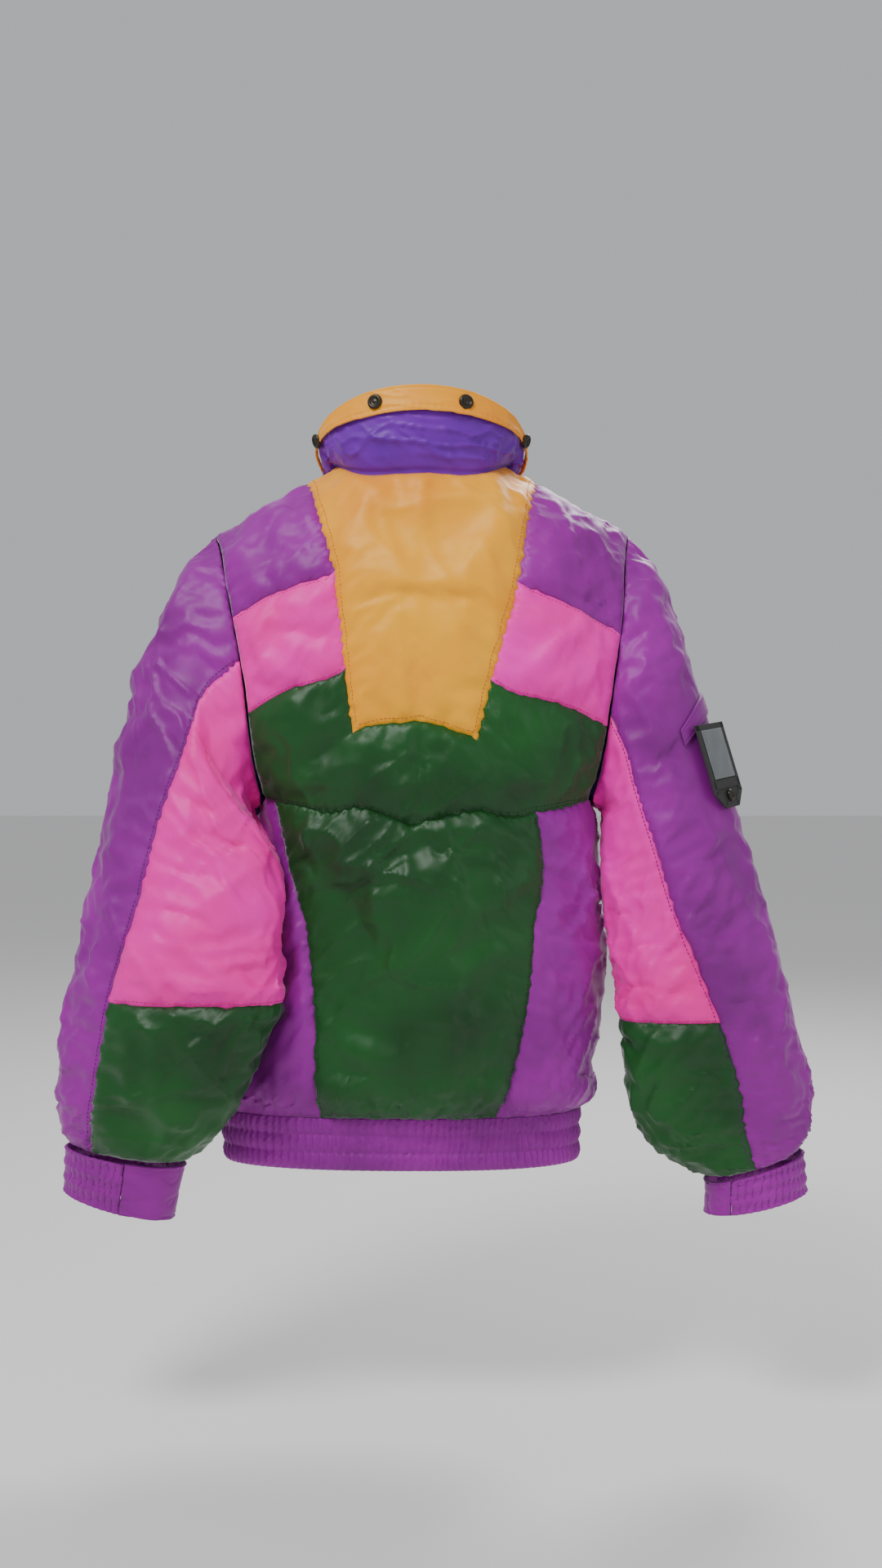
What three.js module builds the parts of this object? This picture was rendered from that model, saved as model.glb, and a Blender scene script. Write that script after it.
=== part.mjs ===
// A padded ski jacket as a three.js scene: shell panels, wadding, lining, zips, snaps and cuffs.
// Millimetres, +Z up, the front faces -Y and the wearer's left is +X.
// The origin is the hanging loop at the back of the neck.
import * as THREE from "three";

// ---- driving dimensions ----
const MID_Y = -75; // the side seams, half-way between front and back
const SHELL = 2; // thickness of a shell panel
const WADDING = 4;
const WADDING_DEPTH = 6; // from the outside of the shell to the wadding
const LINING = 1.5;
const LINING_DEPTH = 13; // from the outside of the shell to the lining
const SEAM_GAP = 0.7; // half of the clearance between two sewn panels
const NECK_RADIUS = 92;
const COLLAR_RADIUS = 106;
const HEM_TOP = -632;
const HEM_BOTTOM = -684;
const ARMHOLE_TOP = -50;
const ARMHOLE_BOTTOM = -326;
const FRONT_EDGE = 15; // from the middle of the zip to the edge of a front panel
const FRONT_NECK = -66; // height of the neck seam beside the zip
const BAND_HEIGHT = 27; // the amber band round the top of the collar
const CUFF_WALL = 4;
const HEM_THICKNESS = 5;
const CAP_RADIUS = 7.5;
const CAP_HEIGHT = 3;
const WIDTH_POWER = 2.4; // of the body's outline: 2 is an ellipse, more is boxier
// The body reaches its full depth this far below the shoulder line.
const SHOULDER_DROP = { back: 170, front: 120 };
const NECK_CLEARANCE = 3; // from the edges of the panels to the neck seam
const RIDGE_CLEARANCE = 0.1; // between the back and the front at the shoulder line
const PANEL_FOOT = HEM_TOP + 2; // the lower edge of the panels, just above the hem band
const COLLAR_TOP = { height: 85, fall: 45, depth: 84, back: -6 }; // fall is from the back to the side
const BAND_FOOT = 1 - BAND_HEIGHT / 86; // as a share of the collar's height
const BAND_PROUD = 3.2;
const BAND_CLEARANCE = 1;
const COLLAR_LINING_DEPTH = 10;
const CAP_ANGLES = { inner: 24, outer: 77 }; // degrees round the neck from the middle of the back
const CAP_CLEARANCE = 0.8;
const LOOP = { halfSpan: 22, sag: 10, width: 7, thickness: 1.6, y: -20 };
const ZIP_TOP = -8;
const TAPE = { inner: 1, outer: 14, from: 1, to: 2.6 }; // across the zip, then into the cloth
const SLIDER_DEPTH = 5;
const PULL_THICKNESS = 1.6;
const PULL_STANDOFF = 2.4;
const POCKET = { top: [60, -400], foot: [86, -540], halfWidth: 9, proud: 3.4, scale: 0.7 };
const ARMHOLE_CLEARANCE = 2.5;
const SLEEVE_SEAM_GAP = 1.2;
const SLEEVE_LINING_DEPTH = 9;
const CUFF_TAB_WALL = 3;
const PASS = { degrees: 36, at: 2.32, width: 58, height: 86, thickness: 2.4, standoff: 4, chamfer: 15 };
const PASS_WINDOW = { inset: 7, top: -6, foot: -56, thickness: 0.8 };
const PASS_SNAP = { radius: 6, height: 2.6, fromFoot: 12 };
const PASS_STRIP = { above: 0.24, below: 0.04, before: 30, after: 32, from: -3.4, to: -0.8 };
const FIT = 0.3; // clearance under a part that lies on the pass holder

const COLOURS = {
  amber: [0xf5b01c, 0.45, 0],
  purple: [0x9c33a6, 0.42, 0],
  pink: [0xff3cb4, 0.45, 0],
  green: [0x1f6b2e, 0.42, 0],
  lining: [0x5a2f86, 0.6, 0],
  wadding: [0xe9e6df, 0.95, 0],
  black: [0x2b2a28, 0.6, 0],
  snap: [0x3a332a, 0.35, 0.6],
  tape: [0x4a1f5c, 0.6, 0],
  metal: [0x8d8f92, 0.3, 1],
  clear: [0xcfd4d6, 0.1, 0],
};

const SIDES = [1, -1];
const SIDE_NAMES = { 1: "left", "-1": "right" };
const jacket = new THREE.Group();

function addMesh(name, colour, geometry) {
  const [color, roughness, metalness] = COLOURS[colour];
  const mesh = new THREE.Mesh(geometry, new THREE.MeshStandardMaterial({ color, roughness, metalness }));
  mesh.name = name;
  jacket.add(mesh);
  return mesh;
}

function mix(a, b, t) {
  return a + (b - a) * t;
}

// ---- curves through a few stations ----
// Each station is [at, value]. Between stations the value follows a smooth Hermite curve.
function curveThrough(stations) {
  const last = stations.length - 1;
  const slopeAt = (i) => {
    const before = stations[Math.max(i - 1, 0)];
    const after = stations[Math.min(i + 1, last)];
    return (after[1] - before[1]) / (after[0] - before[0]);
  };
  return (at) => {
    if (at <= stations[0][0]) return stations[0][1];
    if (at >= stations[last][0]) return stations[last][1];
    let i = 0;
    while (at > stations[i + 1][0]) i += 1;
    const span = stations[i + 1][0] - stations[i][0];
    const t = (at - stations[i][0]) / span;
    const pulls = slopeAt(i) * span * t * (1 - t) ** 2 - slopeAt(i + 1) * span * t * t * (1 - t);
    return mix(stations[i][1], stations[i + 1][1], t * t * (3 - 2 * t)) + pulls;
  };
}

// ---- the torso's outer surface ----
// Half-widths by height. Above the foot of the armhole they run on under the sleeve.
const leftWidth = curveThrough([
  [HEM_BOTTOM, 200], [HEM_TOP, 202], [-600, 192], [-520, 160], [-420, 151], [-326, 162], [-290, 181],
  [-240, 206], [-140, 234], [ARMHOLE_TOP, 236],
]);
const rightWidth = curveThrough([
  [HEM_BOTTOM, 160], [HEM_TOP, 162], [-600, 172], [-520, 178], [-420, 177], [-326, 175], [-290, 192],
  [-240, 214], [-140, 237], [ARMHOLE_TOP, 238],
]);
const backDepth = curveThrough([
  [HEM_BOTTOM, 70], [HEM_TOP, 72], [-590, 90], [-500, 98], [-250, 102], [-100, 100], [60, 96],
]);
const frontDepth = curveThrough([
  [HEM_BOTTOM, 74], [HEM_TOP, 77], [-590, 88], [-500, 92], [-250, 93], [-100, 92], [60, 87],
]);
const shoulderLine = curveThrough([
  [0, 60], [60, 45], [NECK_RADIUS, 18], [150, -13], [185, -34], [212, ARMHOLE_TOP], [240, -72],
]);

function halfWidth(side, z) {
  return side > 0 ? leftWidth(z) : rightWidth(z);
}

// How far the surface has come out from the shoulder line: 0 on it, 1 well below it.
function shoulderRise(x, z, drop) {
  const below = Math.min(Math.max((shoulderLine(Math.abs(x)) - z) / drop, 0), 1);
  return (1 - (1 - below) ** 2.2) ** 0.62;
}

function surfaceAt(x, z, isBack) {
  const share = Math.min(Math.abs(x) / halfWidth(x, z), 1);
  const depth = isBack ? backDepth(z) : -frontDepth(z);
  const fall = (1 - share ** WIDTH_POWER) ** (1 / WIDTH_POWER);
  const rise = shoulderRise(x, z, isBack ? SHOULDER_DROP.back : SHOULDER_DROP.front);
  return new THREE.Vector3(x, MID_Y + depth * rise * fall, z);
}

// angle goes round the body: 0 at the middle of the back, +90 degrees at the left side.
function torsoPoint(angle, z) {
  const side = Math.sin(angle) < 0 ? -1 : 1;
  const x = side * halfWidth(side, z) * Math.abs(Math.sin(angle)) ** (2 / WIDTH_POWER);
  return surfaceAt(x, z, Math.cos(angle) >= 0);
}

// A place on the back or the front of the body as [angle, height].
function back(x, z) {
  const share = Math.min(Math.abs(x) / halfWidth(x, z), 1);
  return [Math.asin(share ** (WIDTH_POWER / 2)) * Math.sign(x), z];
}

function front(x, z) {
  const [angle] = back(x, z);
  return [Math.sign(x) * Math.PI - angle, z];
}

function atSide(side, z) {
  return [(side * Math.PI) / 2, z];
}

// ---- closed sheets ----
// rows is a grid of points on the outer surface. The sheet lies between two depths below it.
// Where wrapped is true the last column joins the first, and the sheet is a tube.
function sheetGeometry(rows, outer, inner, wrapped = false, limit = null) {
  const rowCount = rows.length;
  const columnCount = rows[0].length;
  const normals = gridNormals(rows, wrapped);
  const position = [];
  for (const depth of [outer, inner]) {
    rows.forEach((row, r) => {
      row.forEach((start, c) => {
        const point = start.clone().addScaledVector(normals[r][c], -depth);
        if (limit) limit(point);
        position.push(point.x, point.y, point.z);
      });
    });
  }
  const index = [];
  const at = (layer, r, c) => (layer * rowCount + r) * columnCount + (c % columnCount);
  const quad = (a, b, c, d) => index.push(a, b, c, a, c, d);
  const cells = wrapped ? columnCount : columnCount - 1;
  const lastRow = rowCount - 1;
  for (let c = 0; c < cells; c += 1) {
    for (let r = 0; r < lastRow; r += 1) {
      quad(at(0, r, c), at(0, r, c + 1), at(0, r + 1, c + 1), at(0, r + 1, c));
      quad(at(1, r, c), at(1, r + 1, c), at(1, r + 1, c + 1), at(1, r, c + 1));
    }
    quad(at(1, 0, c), at(1, 0, c + 1), at(0, 0, c + 1), at(0, 0, c));
    quad(at(0, lastRow, c), at(0, lastRow, c + 1), at(1, lastRow, c + 1), at(1, lastRow, c));
  }
  for (let r = 0; r < lastRow && !wrapped; r += 1) {
    quad(at(0, r, 0), at(0, r + 1, 0), at(1, r + 1, 0), at(1, r, 0));
    quad(at(1, r, cells), at(1, r + 1, cells), at(0, r + 1, cells), at(0, r, cells));
  }
  return outwardGeometry(position, index);
}

// Turns the faces round where the solid came out inside out.
function outwardGeometry(position, index) {
  const corner = (i) => new THREE.Vector3().fromArray(position, index[i] * 3);
  let volume = 0;
  for (let i = 0; i < index.length; i += 3) {
    volume += corner(i).dot(corner(i + 1).cross(corner(i + 2)));
  }
  if (volume < 0) index.reverse();
  const geometry = new THREE.BufferGeometry();
  geometry.setAttribute("position", new THREE.Float32BufferAttribute(position, 3));
  geometry.setIndex(index);
  return geometry;
}

// The direction across a grid of points, the same way as the cross product of its rows and columns.
function gridNormals(rows, wrapped) {
  const lastRow = rows.length - 1;
  const count = rows[0].length;
  return rows.map((row, r) =>
    row.map((point, c) => {
      const before = wrapped ? (c + count - 1) % count : Math.max(c - 1, 0);
      const after = wrapped ? (c + 1) % count : Math.min(c + 1, count - 1);
      const across = row[after].clone().sub(row[before]);
      const along = rows[Math.min(r + 1, lastRow)][c].clone().sub(rows[Math.max(r - 1, 0)][c]);
      return across.cross(along).normalize();
    }),
  );
}

// A place along a list of stations, which are evenly spaced in t.
function along(stations, t) {
  const at = Math.min(t, 1) * (stations.length - 1);
  const i = Math.min(Math.floor(at), stations.length - 2);
  return [0, 1].map((k) => mix(stations[i][k], stations[i + 1][k], at - i));
}

// A patch of the body between four seams, each a list of [angle, height] stations.
// top and foot run from the first seam to the last one; first and last run down the body.
function patchRows({ top, foot, first, last, steps, columns, easing = 1 }) {
  const rows = [];
  for (let r = 0; r <= steps; r += 1) {
    const v = (r / steps) ** easing;
    const [a, b] = [along(first, v), along(last, v)];
    const row = [];
    for (let c = 0; c <= columns; c += 1) {
      const u = c / columns;
      const [p, q] = [along(top, u), along(foot, u)];
      const place = [0, 1].map((k) => {
        const corners = mix(mix(top[0][k], top.at(-1)[k], u), mix(foot[0][k], foot.at(-1)[k], u), v);
        return mix(p[k], q[k], v) + mix(a[k], b[k], u) - corners;
      });
      row.push(torsoPoint(place[0], place[1]));
    }
    rows.push(row);
  }
  return rows;
}

// Draws the border of a patch in, so that it keeps clear of its neighbours.
function drawnIn(rows, gap = SEAM_GAP) {
  const towards = (point, neighbour) => {
    const step = neighbour.clone().sub(point);
    return point.add(step.setLength(Math.min(gap, step.length() / 2)));
  };
  rows.forEach((row) => {
    towards(row[0], row[1]);
    towards(row.at(-1), row.at(-2));
  });
  rows[0].forEach((point, c) => towards(point, rows[1][c]));
  rows.at(-1).forEach((point, c) => towards(point, rows.at(-2)[c]));
  return rows;
}

const LIMITS = {
  back: (point) => {
    point.y = Math.max(point.y, MID_Y + 0.6);
  },
  front: (point) => {
    point.y = Math.min(point.y, MID_Y - 0.6);
  },
  none: null,
};

// Reverses the rows where their normals would point at middle, a point inside the cloth.
function facingOut(rows, middle) {
  const r = Math.floor(rows.length / 2);
  const c = Math.floor(rows[0].length / 2);
  const outward = rows[r][c].clone().sub(middle);
  const normal = gridNormals(rows, false)[r][c];
  return normal.dot(outward) > 0 ? rows : rows.map((row) => [...row].reverse());
}

// first is the seam that meets the start of top.
function addPatch(name, colour, patch, depth = 0, thickness = SHELL) {
  const rows = drawnIn(patchRows(patch));
  const middle = new THREE.Vector3(0, MID_Y, rows[Math.floor(rows.length / 2)][0].z);
  const limit = LIMITS[patch.half ?? "none"];
  addMesh(name, colour, sheetGeometry(facingOut(rows, middle), depth, depth + thickness, false, limit));
}

// ---- seam lines ----
// The neck seam, by the angle round the neck: 0 at the middle of the back.
function neckHeight(angle) {
  return 2 - 33 * (1 - Math.cos(angle)) + 49 * Math.sin(angle) ** 4;
}

function neckAngleAt(x) {
  return Math.asin(Math.min(Math.abs(x) / NECK_RADIUS, 1));
}

function backNeck(x) {
  return back(x, neckHeight(neckAngleAt(x)) - NECK_CLEARANCE);
}

function frontNeck(x, extra = 0) {
  return front(x, neckHeight(Math.PI - neckAngleAt(x)) - 2 * NECK_CLEARANCE - extra);
}

function ridge(x) {
  return shoulderLine(Math.abs(x)) - RIDGE_CLEARANCE;
}

// Seam corners as [x, height], from the top down. The two sides differ as cut and hung.
const SEAMS = {
  1: {
    armhole: [[212, ridge(212)], [196, -95], [186, -140], [176, -190], [170, -235], [165, -280], [156, -319]],
    yoke: [[119, ridge(119)], [98, -50], [84, -99], [78, -148], [73, -194], [65, -254]],
    panel: [[148, -328], [131, -384], [113, -440], [105, -505], [103, -570], [98, PANEL_FOOT]],
  },
  "-1": {
    armhole: [
      [-212, ridge(212)], [-203, -105], [-198, -156], [-191, -202], [-185, -247], [-178, -285], [-168, -320],
    ],
    yoke: [[-119, ridge(119)], [-104, -55], [-95, -109], [-82, -157], [-69, -205], [-55, -261]],
    panel: [[-113, -336], [-121, -384], [-112, -440], [-107, -505], [-94, -570], [-74, PANEL_FOOT]],
  },
};

const FRONT_YOKE = [[119, ridge(119)], [92, -30], [70, -72], [52, -112]];
const FRONT_PANEL = [[136, -328], [124, -384], [112, -440], [106, -505], [100, -570], [92, PANEL_FOOT]];

function onBack(corners) {
  return corners.map(([x, z]) => back(x, z));
}

function onFront(corners) {
  return corners.map(([x, z]) => front(x, z));
}

function frontYoke(side) {
  return FRONT_YOKE.map(([x, z]) => front(side * x, z));
}

function frontPanelEdge(side) {
  return FRONT_PANEL.map(([x, z]) => front(side * x, z));
}

function zipEdge(side, ...heights) {
  return heights.map((z) => front(side * FRONT_EDGE, z));
}

// ---- shell panels ----
function addBackYoke() {
  const first = onBack(SEAMS[-1].yoke);
  const last = onBack(SEAMS[1].yoke);
  const top = [-119, -NECK_RADIUS - 3, -75, -40, 0, 40, 75, NECK_RADIUS + 3, 119].map((x) =>
    Math.abs(x) > NECK_RADIUS ? back(x, ridge(x)) : backNeck(x),
  );
  const foot = [first.at(-1), last.at(-1)];
  const grid = { steps: 10, columns: 8, easing: 1.5 };
  addPatch("back_yoke", "amber", { top, foot, first, last, ...grid, half: "back" });
}

function orderedPatch(side, inner, outer, rest) {
  const [first, last] = side > 0 ? [inner, outer] : [outer, inner];
  return { top: [first[0], last[0]], foot: [first.at(-1), last.at(-1)], first, last, ...rest };
}

function addShoulderPanels(side) {
  const { armhole, yoke } = SEAMS[side];
  const name = SIDE_NAMES[side];
  const grid = { steps: 6, columns: 5, easing: 1.7 };
  const backPatch = orderedPatch(side, onBack(yoke.slice(0, 3)), onBack(armhole.slice(0, 3)), grid);
  addPatch(`back_shoulder_${name}`, "purple", { ...backPatch, half: "back" });
  const frontPatch = orderedPatch(side, frontYoke(side), onFront(armhole.slice(0, 3)), grid);
  addPatch(`front_shoulder_${name}`, "purple", { ...frontPatch, half: "front" });
}

function addStripes(side) {
  const { armhole, yoke } = SEAMS[side];
  const name = SIDE_NAMES[side];
  const outer = armhole.slice(2, 5);
  const grid = { steps: 4, columns: 6 };
  addPatch(`back_stripe_${name}`, "pink", orderedPatch(side, onBack(yoke.slice(2, 5)), onBack(outer), grid));
  const inner = zipEdge(side, -104, -150, -196);
  const foot = [[52, -112], [36, -108]].map(([x, z]) => front(side * x, z));
  const patch = orderedPatch(side, inner, onFront(outer), grid);
  patch.top = side > 0 ? [inner[0], ...foot.reverse(), patch.top[1]] : [patch.top[0], ...foot, inner[0]];
  addPatch(`front_stripe_${name}`, "pink", patch);
}

// The green band reaches from armhole to armhole and is notched round the foot of the yoke.
function addBackBand() {
  const [left, right] = [SEAMS[1], SEAMS[-1]];
  const clear = 1.6;
  const top = [
    right.armhole[4], [-126, -226], [right.yoke[4][0] - clear, right.yoke[4][1]],
    [right.yoke[5][0] - clear, right.yoke[5][1] - clear], [4, -259],
    [left.yoke[5][0] + clear, left.yoke[5][1] - clear], [left.yoke[4][0] + clear, left.yoke[4][1]],
    [122, -213], left.armhole[4],
  ];
  const foot = [
    right.armhole[6], [-120, -331], [-74, -334], [-58, -335], [6, -345], [68, -330], [78, -329],
    [112, -325], left.armhole[6],
  ];
  const first = onBack([right.armhole[4], right.armhole[5], right.armhole[6]]);
  const last = onBack([left.armhole[4], left.armhole[5], left.armhole[6]]);
  const edges = { top: onBack(top), foot: onBack(foot), first, last };
  addPatch("back_band", "green", { ...edges, steps: 4, columns: 16 });
}

function addBackPanel() {
  const first = onBack(SEAMS[-1].panel);
  const last = onBack(SEAMS[1].panel);
  const top = [first[0], back(-58, -338), back(6, -348.5), back(70, -333), last[0]];
  const foot = [first.at(-1), last.at(-1)];
  addPatch("back_panel", "green", { top, foot, first, last, steps: 10, columns: 8 });
}

// From the back panel round the side to the front panel, under the armhole.
function addSidePanel(side) {
  const backEdge = onBack(SEAMS[side].panel);
  const frontEdge = frontPanelEdge(side);
  const height = ARMHOLE_BOTTOM - 6;
  const [behind, before] = [back(side * 156, height - 1), front(side * 154, height - 1)];
  const top = [backEdge[0], behind, atSide(side, height), before, frontEdge[0]];
  const patch = orderedPatch(side, backEdge, frontEdge, { steps: 10, columns: 12 });
  patch.top = side > 0 ? top : [...top].reverse();
  addPatch(`side_panel_${SIDE_NAMES[side]}`, "purple", patch);
}

function addFrontPanels(side) {
  const name = SIDE_NAMES[side];
  const { armhole } = SEAMS[side];
  const bandEdges = [zipEdge(side, -196, -262, -328), onFront(armhole.slice(4, 7))];
  const band = orderedPatch(side, ...bandEdges, { steps: 4, columns: 6 });
  addPatch(`front_band_${name}`, "green", band);
  const lower = zipEdge(side, -328, -384, -440, -505, -570, PANEL_FOOT);
  const panel = orderedPatch(side, lower, frontPanelEdge(side), { steps: 10, columns: 5 });
  addPatch(`front_panel_${name}`, "green", panel);
  const shoulderEdge = frontYoke(side);
  const [zipTop, ...zipFoot] = zipEdge(side, FRONT_NECK - NECK_CLEARANCE, -87, -104);
  const neckEdge = [88, 79, 66, 48, 30].map((x) => frontNeck(side * x));
  const shoulderCorner = front(side * (NECK_RADIUS + 3), ridge(NECK_RADIUS + 3));
  const edge = [shoulderCorner, ...neckEdge, zipTop];
  const yoke = orderedPatch(side, edge, shoulderEdge, { steps: 9, columns: 5, easing: 1.3, half: "front" });
  const foot = [zipTop, ...zipFoot, shoulderEdge.at(-1)];
  yoke.foot = side > 0 ? foot : foot.reverse();
  addPatch(`front_yoke_${name}`, "amber", yoke);
}

function patchTop(patch, side, inner, between, outer) {
  patch.top = side > 0 ? [inner, ...[...between].reverse(), outer] : [outer, ...between, inner];
}

// ---- wadding and lining of the body ----
// Each layer is a back and two fronts, joined at the shoulder line and the side seams.
function addBodyLayer(name, colour, depth, thickness) {
  const sideDown = (side) => [-332, -380, -430, -480, -530, -580, PANEL_FOOT].map((z) => atSide(side, z));
  const backEdge = (side) => [...onBack(SEAMS[side].armhole), ...sideDown(side)];
  const frontEdgeOf = (side) => [...onFront(SEAMS[side].armhole), ...sideDown(side)];
  const shoulder = (side, place) => [212, 150, 110].map((x) => place(side * x, ridge(x)));
  const backTop = [
    ...shoulder(-1, back), backNeck(-75), backNeck(0), backNeck(75), ...shoulder(1, back).reverse(),
  ];
  const foot = [atSide(-1, PANEL_FOOT), atSide(1, PANEL_FOOT)];
  const steps = 13;
  const backPatch = { top: backTop, foot, first: backEdge(-1), last: backEdge(1), steps, columns: 12 };
  addPatch(`${name}_back`, colour, { ...backPatch, half: "back" }, depth, thickness);
  for (const side of SIDES) {
    const neckFoot = FRONT_NECK - NECK_CLEARANCE;
    const heights = Array.from({ length: steps + 1 }, (_, i) => mix(neckFoot, PANEL_FOOT, i / steps));
    const inner = zipEdge(side, ...heights);
    const outer = frontEdgeOf(side);
    const patch = orderedPatch(side, inner, outer, { steps, columns: 8, half: "front" });
    const between = [...shoulder(side, front).slice(1), frontNeck(side * 75, 6), frontNeck(side * 40, 6)];
    patchTop(patch, side, inner[0], between, outer[0]);
    addPatch(`${name}_front_${SIDE_NAMES[side]}`, colour, patch, depth, thickness);
  }
}

// ---- collar ----
// angle goes round the neck from the middle of the back. rise is 0 on the neck seam, 1 at the top.
function collarPoint(angle, rise) {
  const height = neckHeight(angle) + 2;
  const base = surfaceAt(NECK_RADIUS * Math.sin(angle), height, Math.cos(angle) > 0);
  if (Math.abs(Math.sin(angle)) > 0.995) base.y = MID_Y;
  const top = new THREE.Vector3(
    COLLAR_RADIUS * Math.sin(angle),
    MID_Y + COLLAR_TOP.back + COLLAR_TOP.depth * Math.cos(angle),
    COLLAR_TOP.height - COLLAR_TOP.fall * (1 - Math.cos(angle)),
  );
  const puff = 5 * Math.sin(Math.PI * rise) * (1 + Math.cos(angle)) * 0.5;
  const point = base.lerp(top, rise);
  point.x += puff * Math.sin(angle);
  point.y += puff * Math.cos(angle);
  return point;
}

function collarRows(from, steps, columns = 24) {
  const open = Math.asin((FRONT_EDGE + 0.5) / NECK_RADIUS);
  const rows = [];
  for (let r = 0; r <= steps; r += 1) {
    const row = [];
    for (let c = 0; c <= columns; c += 1) {
      const angle = mix(-(Math.PI - open), Math.PI - open, c / columns);
      row.push(collarPoint(angle, mix(1, from, r / steps)));
    }
    rows.push(row);
  }
  return rows;
}

function addCollar() {
  const liningBack = COLLAR_LINING_DEPTH + LINING;
  addMesh("collar_shell", "purple", sheetGeometry(collarRows(0, 4), 0, SHELL));
  addMesh("collar_lining", "lining", sheetGeometry(collarRows(0, 3), COLLAR_LINING_DEPTH, liningBack));
  addMesh("collar_band", "amber", sheetGeometry(collarRows(BAND_FOOT, 2), -BAND_PROUD, -BAND_CLEARANCE));
}

// ---- snaps ----
// A ring snap's cap, with its flat face up its own axis.
function capGeometry(radius, height) {
  const profile = [[0, 0], [radius, 0], [radius, height * 0.5], [radius * 0.74, height], [0, height]];
  return new THREE.LatheGeometry(profile.map(([r, h]) => new THREE.Vector2(r, h)), 14);
}

// Puts a mesh on a surface point with its +Y axis along the outward direction.
function standOn(mesh, point, outward, proud) {
  mesh.position.copy(point).addScaledVector(outward, proud);
  mesh.quaternion.setFromUnitVectors(new THREE.Vector3(0, 1, 0), outward);
}

function collarOutward(angle, rise) {
  const step = 0.02;
  const across = collarPoint(angle + step, rise).sub(collarPoint(angle - step, rise));
  const up = collarPoint(angle, rise + step).sub(collarPoint(angle, rise - step));
  return up.cross(across).normalize();
}

function addCollarSnaps() {
  const rise = (1 + BAND_FOOT) / 2;
  for (const side of SIDES) {
    for (const [place, degrees] of Object.entries(CAP_ANGLES)) {
      const angle = THREE.MathUtils.degToRad(side * degrees);
      const name = `hood_snap_${place}_${SIDE_NAMES[side]}`;
      const cap = addMesh(name, "snap", capGeometry(CAP_RADIUS, CAP_HEIGHT));
      standOn(cap, collarPoint(angle, rise), collarOutward(angle, rise), BAND_PROUD + CAP_CLEARANCE);
    }
  }
}

// ---- hanging loop, inside the back of the neck ----
function addHangingLoop() {
  const path = new THREE.CatmullRomCurve3([
    new THREE.Vector3(-LOOP.halfSpan, LOOP.y, 1),
    new THREE.Vector3(-LOOP.halfSpan * 0.6, LOOP.y - 1, LOOP.sag * 0.7),
    new THREE.Vector3(0, LOOP.y - 1.5, LOOP.sag),
    new THREE.Vector3(LOOP.halfSpan * 0.6, LOOP.y - 1, LOOP.sag * 0.7),
    new THREE.Vector3(LOOP.halfSpan, LOOP.y, 1),
  ]);
  const section = new THREE.Shape();
  section.absellipse(0, 0, LOOP.thickness / 2, LOOP.width / 2, 0, Math.PI * 2);
  const settings = { steps: 14, extrudePath: path, curveSegments: 4, bevelEnabled: false };
  addMesh("hanging_loop", "purple", new THREE.ExtrudeGeometry(section, settings));
}

// ---- hem ----
function addHem() {
  const edge = (side) => [HEM_TOP, HEM_BOTTOM].map((z) => front(side * FRONT_EDGE, z));
  const [first, last] = [edge(-1), edge(1)];
  const [top, foot] = [0, 1].map((end) => [first[end], last[end]]);
  const rows = patchRows({ top, foot, first, last, steps: 2, columns: 32 });
  addMesh("hem_band", "purple", sheetGeometry(drawnIn(rows), 0, HEM_THICKNESS));
}

// ---- zips ----
// The main zip runs from the hem to the top of the collar.

function addZipTape(side) {
  const heights = [HEM_BOTTOM + 1, -632, -590, -520, -400, -250, -120, FRONT_NECK - 2];
  const strip = (x) => {
    const body = heights.map((z) => surfaceAt(x, z, false));
    return [...body, new THREE.Vector3(x, body.at(-1).y, ZIP_TOP)];
  };
  const middle = (TAPE.inner + TAPE.outer) / 2;
  const edges = side > 0 ? [TAPE.inner, middle, TAPE.outer] : [-TAPE.outer, -middle, -TAPE.inner];
  const columns = edges.map(strip);
  const rows = columns[0].map((_, r) => columns.map((column) => column[r]));
  addMesh(`zip_tape_${SIDE_NAMES[side]}`, "tape", sheetGeometry(rows, TAPE.from, TAPE.to));
}

// A slider body in its own frame: +Y points out of the cloth and +Z up the zip.
function sliderGeometry(scale) {
  const outline = new THREE.Shape();
  [[-3, -8], [3, -8], [5.5, 0], [5.5, 8], [-5.5, 8], [-5.5, 0]].forEach(([x, y], i) => {
    if (i) outline.lineTo(x * scale, y * scale);
    else outline.moveTo(x * scale, y * scale);
  });
  const depth = SLIDER_DEPTH * scale;
  return new THREE.ExtrudeGeometry(outline, { depth, bevelEnabled: false }).rotateX(-Math.PI / 2);
}

// A flat pull that hangs from the origin down -Z, with its thickness along Y.
function pullGeometry(scale) {
  const outline = new THREE.Shape();
  outline.moveTo(-3 * scale, 1.2);
  outline.lineTo(3 * scale, 1.2);
  outline.lineTo(4 * scale, -24 * scale);
  outline.absarc(0, -28 * scale, 4 * scale, 0, -Math.PI, true);
  const settings = { depth: PULL_THICKNESS, bevelEnabled: false, curveSegments: 5 };
  const geometry = new THREE.ExtrudeGeometry(outline, settings);
  return geometry.translate(0, 0, -PULL_THICKNESS / 2).rotateX(Math.PI / 2);
}

// Places a slider and its pull on a line of the cloth. outward points out of the cloth.
function addSlider(name, at, up, outward, scale) {
  const frame = new THREE.Group();
  const across = new THREE.Vector3().crossVectors(outward, up).normalize();
  const squareUp = new THREE.Vector3().crossVectors(across, outward).normalize();
  frame.quaternion.setFromRotationMatrix(new THREE.Matrix4().makeBasis(across, outward, squareUp));
  frame.position.copy(at);
  const slider = addMesh(`${name}_slider`, "metal", sliderGeometry(scale));
  const pull = addMesh(`${name}_pull`, "metal", pullGeometry(scale));
  pull.position.set(0, SLIDER_DEPTH * scale + PULL_STANDOFF, -4 * scale);
  frame.add(slider, pull);
  jacket.add(frame);
}

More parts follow.
